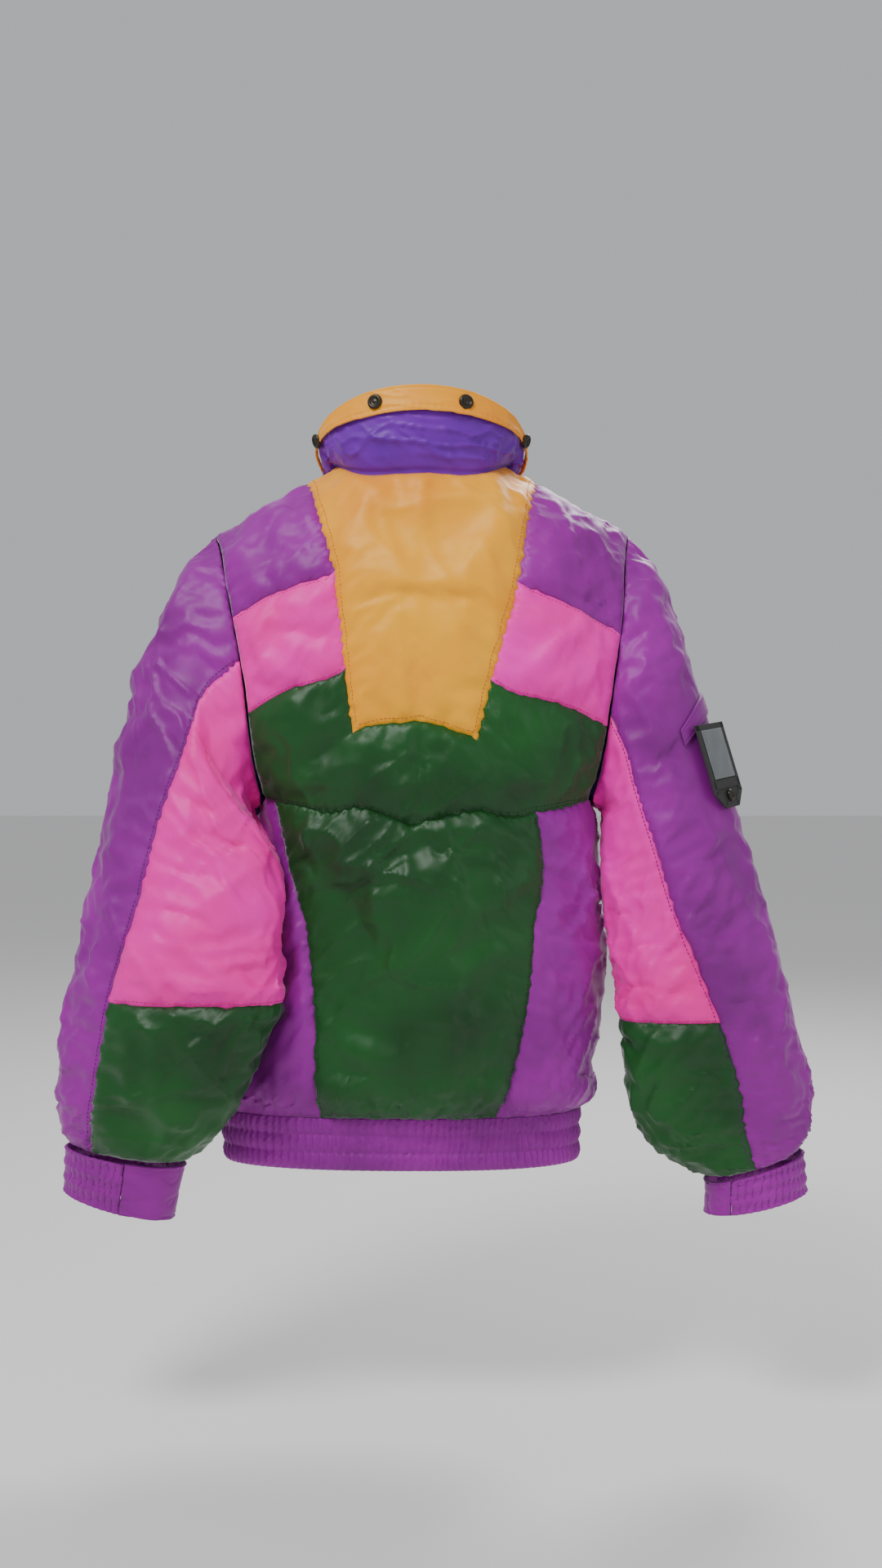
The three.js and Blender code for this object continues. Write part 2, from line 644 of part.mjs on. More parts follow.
function addMainZip() {
  SIDES.forEach(addZipTape);
  const at = new THREE.Vector3(0, surfaceAt(0, -250, false).y - 1, -20);
  addSlider("zip", at, new THREE.Vector3(0, 0, 1), new THREE.Vector3(0, -1, 0), 1);
}

function addPocketZip(side) {
  const name = SIDE_NAMES[side];
  const rows = [];
  const steps = 6;
  for (let r = 0; r <= steps; r += 1) {
    const x = mix(POCKET.top[0], POCKET.foot[0], r / steps);
    const z = mix(POCKET.top[1], POCKET.foot[1], r / steps);
    const row = [-1, 1].map((k) => surfaceAt(side * x + k * POCKET.halfWidth, z, false));
    rows.push(row);
  }
  addMesh(`pocket_zip_${name}`, "tape", sheetGeometry(rows, 2.4, 1).translate(0, -POCKET.proud, 0));
  const top = surfaceAt(side * POCKET.top[0], POCKET.top[1], false);
  const foot = surfaceAt(side * POCKET.foot[0], POCKET.foot[1], false);
  const up = top.clone().sub(foot).normalize();
  const across = new THREE.Vector3(1, 0, 0);
  const outward = across.clone().cross(up).normalize();
  const inward = outward.y > 0 ? -1 : 1;
  outward.multiplyScalar(inward);
  const at = top.clone().addScaledVector(up, -12).addScaledVector(outward, 7);
  addSlider(`pocket_${name}`, at, up, outward, POCKET.scale);
}

// ---- sleeves ----
// Each ring has an outer and an inner end as [x, z], how far back each lies, and its half-depth.
// Rings run from the armhole to the top of the cuff, then to the cuff's foot.
const RINGS = {
  1: [
    { outer: [249, -101], inner: [173, -328], back: [3, 22], depth: 64 },
    { outer: [283, -203], inner: [156, -352], back: [15, 66], depth: 56 },
    { outer: [305, -303], inner: [143, -396], back: [30, 82], depth: 53 },
    { outer: [324, -400], inner: [135, -441], back: [43, 92], depth: 52 },
    { outer: [345, -508], inner: [131, -511], back: [53, 100], depth: 52 },
    { outer: [354, -585], inner: [156, -578], back: [53, 100], depth: 50 },
    { outer: [354, -628], inner: [194, -636], back: [50, 88], depth: 46 },
    { outer: [348, -657], inner: [232, -674], back: [45, 70], depth: 40 },
    { outer: [349, -661], inner: [233, -677], back: [45, 70], depth: 38 },
    { outer: [351, -706], inner: [245, -731], back: [45, 66], depth: 36 },
  ],
  "-1": [
    { outer: [-247, -103], inner: [-182, -329], back: [3, 14], depth: 64 },
    { outer: [-279, -204], inner: [-185, -348], back: [10, 26], depth: 58 },
    { outer: [-310, -304], inner: [-187, -392], back: [20, 33], depth: 54 },
    { outer: [-337, -403], inner: [-190, -441], back: [27, 35], depth: 52 },
    { outer: [-368, -510], inner: [-196, -520], back: [33, 40], depth: 52 },
    { outer: [-385, -590], inner: [-204, -590], back: [35, 43], depth: 50 },
    { outer: [-388, -630], inner: [-228, -650], back: [35, 43], depth: 46 },
    { outer: [-379, -666], inner: [-284, -695], back: [33, 40], depth: 40 },
    { outer: [-380, -670], inner: [-285, -699], back: [33, 40], depth: 38 },
    { outer: [-384, -711], inner: [-285, -733], back: [33, 38], depth: 36 },
  ],
};
const CUFF_TOP = 9; // ring numbers, where the armhole is 0
const CUFF_FOOT = 10;
const SLEEVE_END = 8;
// The seam between the outer and the rear cloth, in degrees from the outer end of each ring.
const SEAM_DEGREES = {
  1: [88, 92, 91, 80, 73, 63, 63, 65, 68],
  "-1": [111, 118, 120, 113, 105, 91, 83, 86, 96],
};
const GREEN_FROM = { 1: 5.05, "-1": 5.25 };

// The armhole's own ring: it follows the edge of the body from the shoulder to the underarm.
function armholePoint(side, degrees) {
  const angle = THREE.MathUtils.degToRad(degrees);
  const middle = (ARMHOLE_TOP + ARMHOLE_BOTTOM) / 2;
  const z = middle + ((ARMHOLE_TOP - ARMHOLE_BOTTOM) / 2) * Math.cos(angle);
  const stations = SEAMS[side].armhole.map(([x, height]) => [height, x]).reverse();
  const x = curveThrough(stations)(z);
  const reach = surfaceAt(x, z, Math.sin(angle) > 0).y - MID_Y;
  const rounding = Math.abs(Math.sin(angle)) ** 0.5;
  const under = 6 * Math.max(-Math.cos(angle), 0) ** 6;
  return new THREE.Vector3(x + side * (ARMHOLE_CLEARANCE + under), MID_Y + reach * rounding, z);
}

function ringPoint(side, number, degrees) {
  if (number === 0) return armholePoint(side, degrees);
  const ring = RINGS[side][number - 1];
  const outer = new THREE.Vector3(ring.outer[0], MID_Y + ring.back[0], ring.outer[1]);
  const inner = new THREE.Vector3(ring.inner[0], MID_Y + ring.back[1], ring.inner[1]);
  const half = outer.clone().sub(inner).multiplyScalar(0.5);
  const across = half.clone().normalize();
  const deep = new THREE.Vector3(0, 1, 0);
  deep.addScaledVector(across, -deep.dot(across)).normalize();
  const angle = THREE.MathUtils.degToRad(degrees);
  return outer
    .lerp(inner, 0.5)
    .addScaledVector(half, Math.cos(angle))
    .addScaledVector(deep, ring.depth * Math.sin(angle));
}

// at is a ring number, whole or between two rings.
function sleevePoint(side, degrees, at) {
  const count = SLEEVE_END + 1;
  const point = new THREE.Vector3();
  for (const axis of ["x", "y", "z"]) {
    const stations = Array.from({ length: count }, (_, i) => [i, ringPoint(side, i, degrees)[axis]]);
    point[axis] = curveThrough(stations)(at);
  }
  return point;
}

function seamDegrees(side, at) {
  return curveThrough(SEAM_DEGREES[side].map((degrees, i) => [i, degrees]))(at);
}

function sleeveMiddle(side, at) {
  return sleevePoint(side, 0, at).lerp(sleevePoint(side, 180, at), 0.5);
}

// A patch of the sleeve. around gives the first and the last angle at each ring number.
function sleeveRows(side, start, end, around, steps, columns) {
  const rows = [];
  for (let r = 0; r <= steps; r += 1) {
    const at = mix(start, end, r / steps);
    const [first, last] = around(at);
    const row = [];
    for (let c = 0; c <= columns; c += 1) row.push(sleevePoint(side, mix(first, last, c / columns), at));
    rows.push(row);
  }
  return facingOut(rows, sleeveMiddle(side, (start + end) / 2));
}

function addSleeve(side) {
  const name = SIDE_NAMES[side];
  const green = GREEN_FROM[side];
  const outside = (at) => [-seamDegrees(side, at), seamDegrees(side, at)];
  const inside = (at) => [seamDegrees(side, at), 360 - seamDegrees(side, at)];
  const shape = (rows) => sheetGeometry(drawnIn(rows, SLEEVE_SEAM_GAP), 0, SHELL);
  addMesh(`sleeve_outer_${name}`, "purple", shape(sleeveRows(side, 0, SLEEVE_END, outside, 12, 7)));
  addMesh(`sleeve_inner_${name}`, "pink", shape(sleeveRows(side, 0, green, inside, 8, 9)));
  addMesh(`sleeve_lower_${name}`, "green", shape(sleeveRows(side, green, SLEEVE_END, inside, 5, 9)));
  const round = sleeveRows(side, 0.12, SLEEVE_END, () => [0, 360 - 360 / 14], 12, 13);
  const lining = sheetGeometry(round, SLEEVE_LINING_DEPTH, SLEEVE_LINING_DEPTH + LINING, true);
  addMesh(`sleeve_lining_${name}`, "lining", lining);
}

// ---- cuffs: an elastic part and a plain tab between its ends ----
const TAB_DEGREES = { 1: [104, 236], "-1": [128, 232] };

function cuffRows(side, first, last, columns) {
  const rows = [];
  for (let r = 0; r <= 2; r += 1) {
    const row = [];
    for (let c = 0; c <= columns; c += 1) {
      const degrees = mix(first, last, c / columns);
      const top = ringPoint(side, CUFF_TOP, degrees);
      row.push(top.lerp(ringPoint(side, CUFF_FOOT, degrees), r / 2));
    }
    rows.push(row);
  }
  return facingOut(rows, ringPoint(side, CUFF_TOP, 0).lerp(ringPoint(side, CUFF_FOOT, 180), 0.5));
}

function addCuff(side) {
  const name = SIDE_NAMES[side];
  const [first, last] = TAB_DEGREES[side];
  const band = drawnIn(cuffRows(side, last - 360, first, 14));
  addMesh(`cuff_${name}`, "purple", sheetGeometry(band, 0, CUFF_WALL));
  const tab = drawnIn(cuffRows(side, first, last, 7));
  addMesh(`cuff_tab_${name}`, "purple", sheetGeometry(tab, 0, CUFF_TAB_WALL));
}

// ---- ski pass holder on the right sleeve ----
// The frame of the flat holder: where it hangs from, and its across, outward and up directions.
function passFrame() {
  const at = sleevePoint(-1, PASS.degrees, PASS.at);
  const middle = sleeveMiddle(-1, PASS.at);
  const down = sleevePoint(-1, PASS.degrees, PASS.at + 1).sub(at);
  const round = sleevePoint(-1, PASS.degrees + 20, PASS.at).sub(sleevePoint(-1, PASS.degrees - 20, PASS.at));
  const up = down.multiplyScalar(-1).normalize();
  const outward = round.cross(up).normalize();
  if (outward.dot(at.clone().sub(middle)) < 0) outward.multiplyScalar(-1);
  const across = new THREE.Vector3().crossVectors(outward, up).normalize();
  return { at: at.addScaledVector(outward, PASS.standoff), up, outward, across };
}

function addPassHolder() {
  const { at, up, outward, across } = passFrame();
  const frame = new THREE.Group();
  frame.quaternion.setFromRotationMatrix(new THREE.Matrix4().makeBasis(across, outward, up));
  frame.position.copy(at);
  jacket.add(frame);
  const plate = (name, colour, outline, depth, y) => {
    const shape = new THREE.Shape(outline.map(([x, z]) => new THREE.Vector2(x, z)));
    const geometry = new THREE.ExtrudeGeometry(shape, { depth, bevelEnabled: false });
    geometry.rotateX(Math.PI / 2).translate(0, y + depth, 0);
    const mesh = addMesh(name, colour, geometry);
    frame.add(mesh);
    return mesh;
  };
  const { width, height, thickness, chamfer } = PASS;
  const half = width / 2;
  const body = [[-half, 0], [-half, -height + chamfer], [-half + chamfer, -height], [half - chamfer, -height],
    [half, -height + chamfer], [half, 0]];
  plate("pass_holder", "black", body, thickness, 0);
  const { top, foot } = PASS_WINDOW;
  const reach = half - PASS_WINDOW.inset;
  const window = [[-reach, top], [-reach, foot], [reach, foot], [reach, top]];
  plate("pass_window", "clear", window, PASS_WINDOW.thickness, thickness + FIT);
  const cap = addMesh("pass_snap", "snap", capGeometry(PASS_SNAP.radius, PASS_SNAP.height));
  cap.position.set(0, thickness + FIT, -height + PASS_SNAP.fromFoot);
  frame.add(cap);
}

function addPassStrip() {
  const span = () => [PASS.degrees - PASS_STRIP.before, PASS.degrees + PASS_STRIP.after];
  const rows = sleeveRows(-1, PASS.at - PASS_STRIP.above, PASS.at - PASS_STRIP.below, span, 2, 6);
  addMesh("pass_strip", "purple", sheetGeometry(drawnIn(rows), PASS_STRIP.from, PASS_STRIP.to));
}

// ---- assembly ----
addBackYoke();
addBackBand();
addBackPanel();
for (const side of SIDES) {
  addShoulderPanels(side);
  addStripes(side);
  addFrontPanels(side);
  addSidePanel(side);
}
addBodyLayer("wadding", "wadding", WADDING_DEPTH, WADDING);
addBodyLayer("lining", "lining", LINING_DEPTH, LINING);
addCollar();
addCollarSnaps();
addHangingLoop();
addHem();
addMainZip();
SIDES.forEach(addPocketZip);
SIDES.forEach(addSleeve);
SIDES.forEach(addCuff);
addPassStrip();
addPassHolder();

// The loop hangs at the origin.
jacket.position.set(0, -LOOP.y, 0);

export default jacket;
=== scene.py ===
"""A padded ski jacket hanging by its neck: the cloth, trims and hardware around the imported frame."""
import math

import bpy
import bmesh
import numpy as np
from mathutils import Matrix, Vector
from mathutils import noise as wave
from mathutils.bvhtree import BVHTree
from mathutils.geometry import delaunay_2d_cdt
from mathutils.kdtree import KDTree


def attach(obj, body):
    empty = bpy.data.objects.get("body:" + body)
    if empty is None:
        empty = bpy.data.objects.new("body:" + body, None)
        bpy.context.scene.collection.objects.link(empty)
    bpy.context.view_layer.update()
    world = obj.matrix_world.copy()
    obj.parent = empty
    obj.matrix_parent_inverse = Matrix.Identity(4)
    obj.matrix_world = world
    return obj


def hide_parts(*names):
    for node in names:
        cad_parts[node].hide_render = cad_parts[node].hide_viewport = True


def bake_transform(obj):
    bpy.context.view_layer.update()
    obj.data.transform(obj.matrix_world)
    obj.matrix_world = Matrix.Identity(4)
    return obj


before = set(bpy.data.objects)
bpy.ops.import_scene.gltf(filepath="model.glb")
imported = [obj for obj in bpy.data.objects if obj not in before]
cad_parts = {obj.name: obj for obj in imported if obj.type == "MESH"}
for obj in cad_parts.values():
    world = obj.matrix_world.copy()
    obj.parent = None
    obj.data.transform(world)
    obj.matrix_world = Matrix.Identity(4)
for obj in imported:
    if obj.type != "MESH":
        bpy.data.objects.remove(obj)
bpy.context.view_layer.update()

# ---------------------------------------------------------------- driving dimensions, in millimetres
MM = 0.001
LOOP_Y = 20.0  # the frame's origin is this far in front of the cutter's zero
MID_Y = -75.0
HEM_TOP, HEM_BOTTOM = -632.0, -684.0
ARMHOLE_TOP = -50.0
FRONT_EDGE = 15.0
FRONT_NECK = -66.0
NECK_RADIUS, COLLAR_RADIUS = 92.0, 106.0
BAND_HEIGHT = 27.0
WIDTH_POWER = 2.4
DROP_BACK, DROP_FRONT = 170.0, 120.0
CELL = 7.6  # size of the cloth's triangles before subdivision
SEAM_CELL = 6.0


def curve(*stations):
    """A smooth Hermite curve through [at, value] stations, for arrays."""
    at = np.array([s[0] for s in stations], float)
    value = np.array([s[1] for s in stations], float)
    last = len(at) - 1
    low, high = np.maximum(np.arange(last + 1) - 1, 0), np.minimum(np.arange(last + 1) + 1, last)
    slope = (value[high] - value[low]) / (at[high] - at[low])

    def evaluate(x):
        x = np.clip(np.asarray(x, float), at[0], at[-1])
        i = np.clip(np.searchsorted(at, x, side="right") - 1, 0, last - 1)
        span = at[i + 1] - at[i]
        t = (x - at[i]) / span
        blend = t * t * (3 - 2 * t)
        pull = slope[i] * span * t * (1 - t) ** 2 - slope[i + 1] * span * t * t * (1 - t)
        return value[i] * (1 - blend) + value[i + 1] * blend + pull

    return evaluate


# ---------------------------------------------------------------- the body's surface
left_width = curve((HEM_BOTTOM, 200), (HEM_TOP, 202), (-600, 192), (-520, 160), (-420, 151), (-326, 162),
                   (-290, 181), (-240, 206), (-140, 234), (ARMHOLE_TOP, 236))
right_width = curve((HEM_BOTTOM, 160), (HEM_TOP, 162), (-600, 172), (-520, 178), (-420, 177), (-326, 175),
                    (-290, 192), (-240, 214), (-140, 237), (ARMHOLE_TOP, 238))
back_depth = curve((HEM_BOTTOM, 70), (HEM_TOP, 72), (-590, 90), (-500, 98), (-250, 102), (-100, 100), (60, 96))
front_depth = curve((HEM_BOTTOM, 74), (HEM_TOP, 77), (-590, 88), (-500, 92), (-250, 93), (-100, 92), (60, 87))
shoulder_line = curve((0, 60), (60, 45), (NECK_RADIUS, 18), (150, -13), (185, -34), (212, ARMHOLE_TOP), (240, -72))


def half_width(x, z):
    return np.where(np.asarray(x) > 0, left_width(z), right_width(z))


def surface_at(x, z, is_back):
    share = np.minimum(np.abs(x) / half_width(x, z), 1)
    fall = (1 - share**WIDTH_POWER) ** (1 / WIDTH_POWER)
    drop = np.where(is_back, DROP_BACK, DROP_FRONT)
    below = np.clip((shoulder_line(np.abs(x)) - z) / drop, 0, 1)
    rise = (1 - (1 - below) ** 2.2) ** 0.62
    depth = np.where(is_back, back_depth(z), -front_depth(z))
    return np.stack([x + 0 * z, MID_Y + depth * rise * fall, z + 0 * x], axis=-1)


def torso(angle, z):
    """angle goes round the body from the middle of the back, +pi/2 at the left side."""
    side = np.where(np.sin(angle) < 0, -1.0, 1.0)
    x = side * half_width(side, z) * np.abs(np.sin(angle)) ** (2 / WIDTH_POWER)
    return surface_at(x, z, np.cos(angle) >= 0)


def back(x, z):
    share = min(abs(x) / float(half_width(x, z)), 1)
    return math.copysign(math.asin(share ** (WIDTH_POWER / 2)), x), z


def front(x, z):
    angle, _ = back(x, z)
    return math.copysign(math.pi, x) - angle, z


def at_side(side, z):
    return side * math.pi / 2, z


def neck_height(angle):
    return 2 - 33 * (1 - np.cos(angle)) + 49 * np.sin(angle) ** 4


def neck_angle(x):
    return math.asin(min(abs(x) / NECK_RADIUS, 1))


def back_neck(x):
    return back(x, float(neck_height(neck_angle(x))))


def front_neck(x):
    return front(x, float(neck_height(math.pi - neck_angle(x))))


def ridge(x):
    return float(shoulder_line(abs(x)))


# ---------------------------------------------------------------- a flat chart of the body
# The chart is nearly the flat cut of the cloth: arc length round the body and down from the shoulder.
_angles = np.linspace(0, math.pi, 721)
_ring = np.stack([185 * np.sin(_angles) ** (2 / WIDTH_POWER),
                  98 * np.sign(np.cos(_angles)) * np.abs(np.cos(_angles)) ** (2 / WIDTH_POWER)], axis=-1)
_round = np.concatenate([[0], np.cumsum(np.linalg.norm(np.diff(_ring, axis=0), axis=1))])
_below = np.concatenate([np.linspace(0, 8, 200) ** 2 / 8, np.linspace(8.2, 900, 900)])
_out = 100 * (1 - (1 - np.clip(_below / DROP_BACK, 0, 1)) ** 2.2) ** 0.62
_down = np.concatenate([[0], np.cumsum(np.hypot(np.diff(_below), np.diff(_out)))])


def to_chart(angle, z):
    x = torso(angle, z)[..., 0]
    below = shoulder_line(np.abs(x)) - z
    return np.stack([np.sign(angle) * np.interp(np.abs(angle), _angles, _round),
                     -np.interp(below, _below, _down)], axis=-1)


def from_chart(place):
    angle = np.sign(place[:, 0]) * np.interp(np.abs(place[:, 0]), _round, _angles)
    below = np.interp(-place[:, 1], _down, _below)
    z = -below
    for _ in range(12):
        side = np.where(np.sin(angle) < 0, -1.0, 1.0)
        x = half_width(side, z) * np.abs(np.sin(angle)) ** (2 / WIDTH_POWER)
        z = 0.5 * z + 0.5 * (shoulder_line(x) - below)
    return angle, z


def resample(corners, step, smooth=True):
    """Points along a line through corners, every step or less, with each corner kept exactly."""
    corners = np.array(corners, float)
    last = len(corners) - 1
    ahead, behind = corners[np.minimum(np.arange(last + 1) + 1, last)], corners[np.maximum(np.arange(last + 1) - 1, 0)]
    slope = (ahead - behind) * 0.5 if smooth and last > 1 else None
    points = [corners[0]]
    for i in range(last):
        a, b = corners[i], corners[i + 1]
        count = max(1, round(np.linalg.norm(b - a) / step))
        for k in range(1, count + 1):
            t = k / count
            point = a + (b - a) * t
            if slope is not None and k < count:
                point = (a + (b - a) * t * t * (3 - 2 * t) + slope[i] * t * (1 - t) ** 2
                         - slope[i + 1] * t * t * (1 - t))
            points.append(point)
    return np.array(points)


def body_line(places, step=SEAM_CELL, smooth=True):
    places = np.array(places, float)
    return resample(to_chart(places[:, 0], places[:, 1]), step, smooth)


def ridge_line(place, side, start, end):
    count = round((end - start) / SEAM_CELL)
    places = np.array([place(side * x, ridge(x)) for x in np.linspace(start, end, count + 1)])
    return to_chart(places[:, 0], places[:, 1])


# Seam corners as [x, height] on the back of the body, from the top down.
SEAMS = {
    1: {"armhole": [(212, ridge(212)), (196, -95), (186, -140), (176, -190), (170, -235), (165, -280), (156, -319)],
        "yoke": [(119, ridge(119)), (98, -50), (84, -99), (78, -148), (73, -194), (65, -254)],
        "panel": [(146, -321), (131, -384), (113, -440), (105, -505), (103, -570), (98, HEM_TOP)],
        "stripe": [(84, -99), (132, -115), (186, -140)],
        "band": [(73, -194), (122, -211), (170, -235)]},
    -1: {"armhole": [(-212, ridge(212)), (-203, -105), (-198, -156), (-191, -202), (-185, -247), (-178, -285),
                     (-168, -320)],
         "yoke": [(-119, ridge(119)), (-104, -55), (-95, -109), (-82, -157), (-69, -205), (-55, -261)],
         "panel": [(-113, -332), (-121, -384), (-112, -440), (-107, -505), (-94, -570), (-74, HEM_TOP)],
         "stripe": [(-95, -109), (-146, -130), (-198, -156)],
         "band": [(-69, -205), (-126, -224), (-185, -247)]},
}
BAND_FOOT = [(-168, -320), (-113, -332), (-74, -335), (6, -345), (78, -331), (112, -327), (146, -321), (156, -319)]
FRONT_YOKE = [(119, ridge(119)), (92, -30), (70, -72), (52, -112)]
FRONT_PANEL = [(136, -326), (124, -384), (112, -440), (106, -505), (100, -570), (92, HEM_TOP)]
ZIP_CORNERS = [-104, -196, -328, HEM_TOP]
NECK_OPEN = math.asin(FRONT_EDGE / NECK_RADIUS)


def on_back(corners):
    return [back(x, z) for x, z in corners]


def on_front(corners):
    return [front(x, z) for x, z in corners]


def body_lines():
    """The seams and edges of the body in the chart: {name: points}."""
    lines = {}
    angles = np.linspace(-math.pi / 2, math.pi / 2, 45)
    neck = [back(NECK_RADIUS * math.sin(a), min(float(neck_height(a)), ridge(NECK_RADIUS * math.sin(a))))
            for a in angles]
    lines["neck_back"] = body_line(neck, smooth=False)
    for side in (1, -1):
        seams = SEAMS[side]
        name = "left" if side > 0 else "right"
        mirrored = [(side * x, z) for x, z in FRONT_YOKE]
        panel = [(side * x, z) for x, z in FRONT_PANEL]
        armhole = seams["armhole"]
        angles = np.linspace(math.pi / 2, math.pi - NECK_OPEN, 26)
        neck = [front(side * NECK_RADIUS * math.sin(a), min(float(neck_height(a)), ridge(NECK_RADIUS * math.sin(a))))
                for a in angles]
        lines[f"neck_{name}"] = body_line(neck, smooth=False)
        zip_edge = [neck[-1], *(front(side * FRONT_EDGE, z) for z in ZIP_CORNERS)]
        lines[f"zip_{name}"] = body_line(zip_edge, smooth=False)
        for place, tag in ((back, "back"), (front, "front")):
            lines[f"ridge_{tag}_{name}"] = ridge_line(place, side, NECK_RADIUS, 119)
            lines[f"shoulder_{tag}_{name}"] = ridge_line(place, side, 119, 212)
        lines[f"armhole_back_{name}"] = body_line(on_back(armhole))
        lines[f"armhole_front_{name}"] = body_line(on_front(armhole))
        foot = armhole[-1]
        under = [back(*foot), (side * math.pi / 2, foot[1] - 8), front(*foot)]
        lines[f"under_{name}"] = body_line(under)
        lines[f"yoke_{name}"] = body_line(on_back(seams["yoke"]))
        lines[f"stripe_{name}"] = body_line(on_back(seams["stripe"]))
        lines[f"band_{name}"] = body_line(on_back(seams["band"]))
        lines[f"panel_{name}"] = body_line(on_back(seams["panel"]))
        lines[f"front_yoke_{name}"] = body_line(on_front(mirrored))
        lines[f"front_yoke_foot_{name}"] = body_line([zip_edge[1], front(*mirrored[-1])])
        lines[f"front_stripe_{name}"] = body_line([front(*mirrored[-1]), front(*armhole[2])])
        lines[f"front_band_{name}"] = body_line([zip_edge[2], front(*armhole[4])])
        lines[f"front_band_foot_{name}"] = body_line([zip_edge[3], front(*panel[0]), front(*foot)])
        lines[f"front_panel_{name}"] = body_line(on_front(panel))
        ends = [zip_edge[-1], front(*panel[-1]), (side * math.pi / 2, HEM_TOP), back(*seams["panel"][-1])]
        ends = np.array(ends)
        round_hem = [ends[0]]
        for a, b in zip(ends, ends[1:]):
            round_hem.extend(a + (b - a) * k / 24 for k in range(1, 25))
        lines[f"hem_{name}"] = body_line(round_hem, step=1000)
    lines["yoke_foot"] = body_line([back(*SEAMS[-1]["yoke"][-1]), back(*SEAMS[1]["yoke"][-1])])
    corners = body_line(on_back(BAND_FOOT), step=1000)
    lines["band_foot"] = resample(corners, SEAM_CELL, smooth=False)
    hem = np.linspace(back(*SEAMS[-1]["panel"][-1]), back(*SEAMS[1]["panel"][-1]), 40)
    lines["hem_back"] = body_line(hem, step=1000)
    return lines


BODY_SEEDS = {
    "back_yoke": [back(0, -150)], "back_band": [back(0, -300)], "back_panel": [back(0, -480)],
}
for _side, _name in ((1, "left"), (-1, "right")):
    BODY_SEEDS[f"back_shoulder_{_name}"] = [back(_side * 150, -70)]
    BODY_SEEDS[f"back_stripe_{_name}"] = [back(_side * 130, -170)]
    BODY_SEEDS[f"side_panel_{_name}"] = [at_side(_side, -480)]
    BODY_SEEDS[f"front_yoke_{_name}"] = [front(_side * 50, -80)]
    BODY_SEEDS[f"front_shoulder_{_name}"] = [front(_side * 140, -70)]
    BODY_SEEDS[f"front_stripe_{_name}"] = [front(_side * 100, -155)]
    BODY_SEEDS[f"front_band_{_name}"] = [front(_side * 80, -260)]
    BODY_SEEDS[f"front_panel_{_name}"] = [front(_side * 60, -480)]


def cut_cloth(lines, seeds, cell=CELL):
    """Triangles between the lines of a chart, and the panel that each triangle belongs to.
    lines is {name: points}; seeds is {panel: chart points inside it}."""
    points, edges = [], []
    for line in lines.values():
        start = len(points)
        points.extend(line)
        edges.extend((start + i, start + i + 1) for i in range(len(line) - 1))
    points = np.array(points)
    tree = KDTree(len(points))
    for i, (s, t) in enumerate(points):
        tree.insert((s, t, 0), i)
    tree.balance()
    low, high = points.min(0), points.max(0)
    shake = np.random.default_rng(11)
    filling = []
    for row, t in enumerate(np.arange(low[1], high[1], cell * 0.866)):
        for s in np.arange(low[0] + (row % 2) * cell / 2, high[0], cell):
            spot = np.array([s, t]) + shake.uniform(-0.12, 0.12, 2) * cell
            if tree.find((*spot, 0))[2] > cell * 0.6:
                filling.append(spot)
    flat = [Vector(p) for p in [*points, *filling]]
    places, kept_edges, faces, _, origins, _ = delaunay_2d_cdt(flat, edges, [], 0, 0.02, True)
    walls = {tuple(sorted(edge)) for edge, origin in zip(kept_edges, origins) if origin}
    faces = np.array(faces)
    places = np.array([tuple(p) for p in places])
    neighbours = {}
    for number, face in enumerate(faces):
        for a, b in ((0, 1), (1, 2), (2, 0)):
            edge = tuple(sorted((int(face[a]), int(face[b]))))
            if edge not in walls:
                neighbours.setdefault(edge, []).append(number)
    beside = [[] for _ in faces]
    for pair in neighbours.values():
        if len(pair) == 2:
            beside[pair[0]].append(pair[1])
            beside[pair[1]].append(pair[0])
    middles = places[faces].mean(1)
    label = np.full(len(faces), -1)
    for number, spots in enumerate(seeds.values()):
        for spot in spots:
            queue = [int(np.argmin(np.linalg.norm(middles - spot, axis=1)))]
            while queue:
                face = queue.pop()
                if label[face] < 0:
                    label[face] = number
                    queue.extend(beside[face])
    faces, label = faces[label >= 0], label[label >= 0]
    used, compact = np.unique(faces, return_inverse=True)
    return places[used], compact.reshape(faces.shape), label


def welded(points, faces, label, reach=0.45):
    """Joins the points that lie on one another, such as the two sides of the shoulder seam."""
    tree = KDTree(len(points))
    for i, point in enumerate(points):
        tree.insert(point, i)
    tree.balance()
    stands_for = np.array([min(found[1] for found in tree.find_range(point, reach)) for point in points])
    faces = stands_for[faces]
    whole = (faces[:, 0] != faces[:, 1]) & (faces[:, 1] != faces[:, 2]) & (faces[:, 0] != faces[:, 2])
    used, compact = np.unique(faces[whole], return_inverse=True)
    points, faces = points[used], compact.reshape(-1, 3)
    normals = vertex_normals(points, faces)
    if outward(points, normals, points.mean(0)) < 0:
        faces = faces[:, ::-1]
    return points, faces, label[whole]


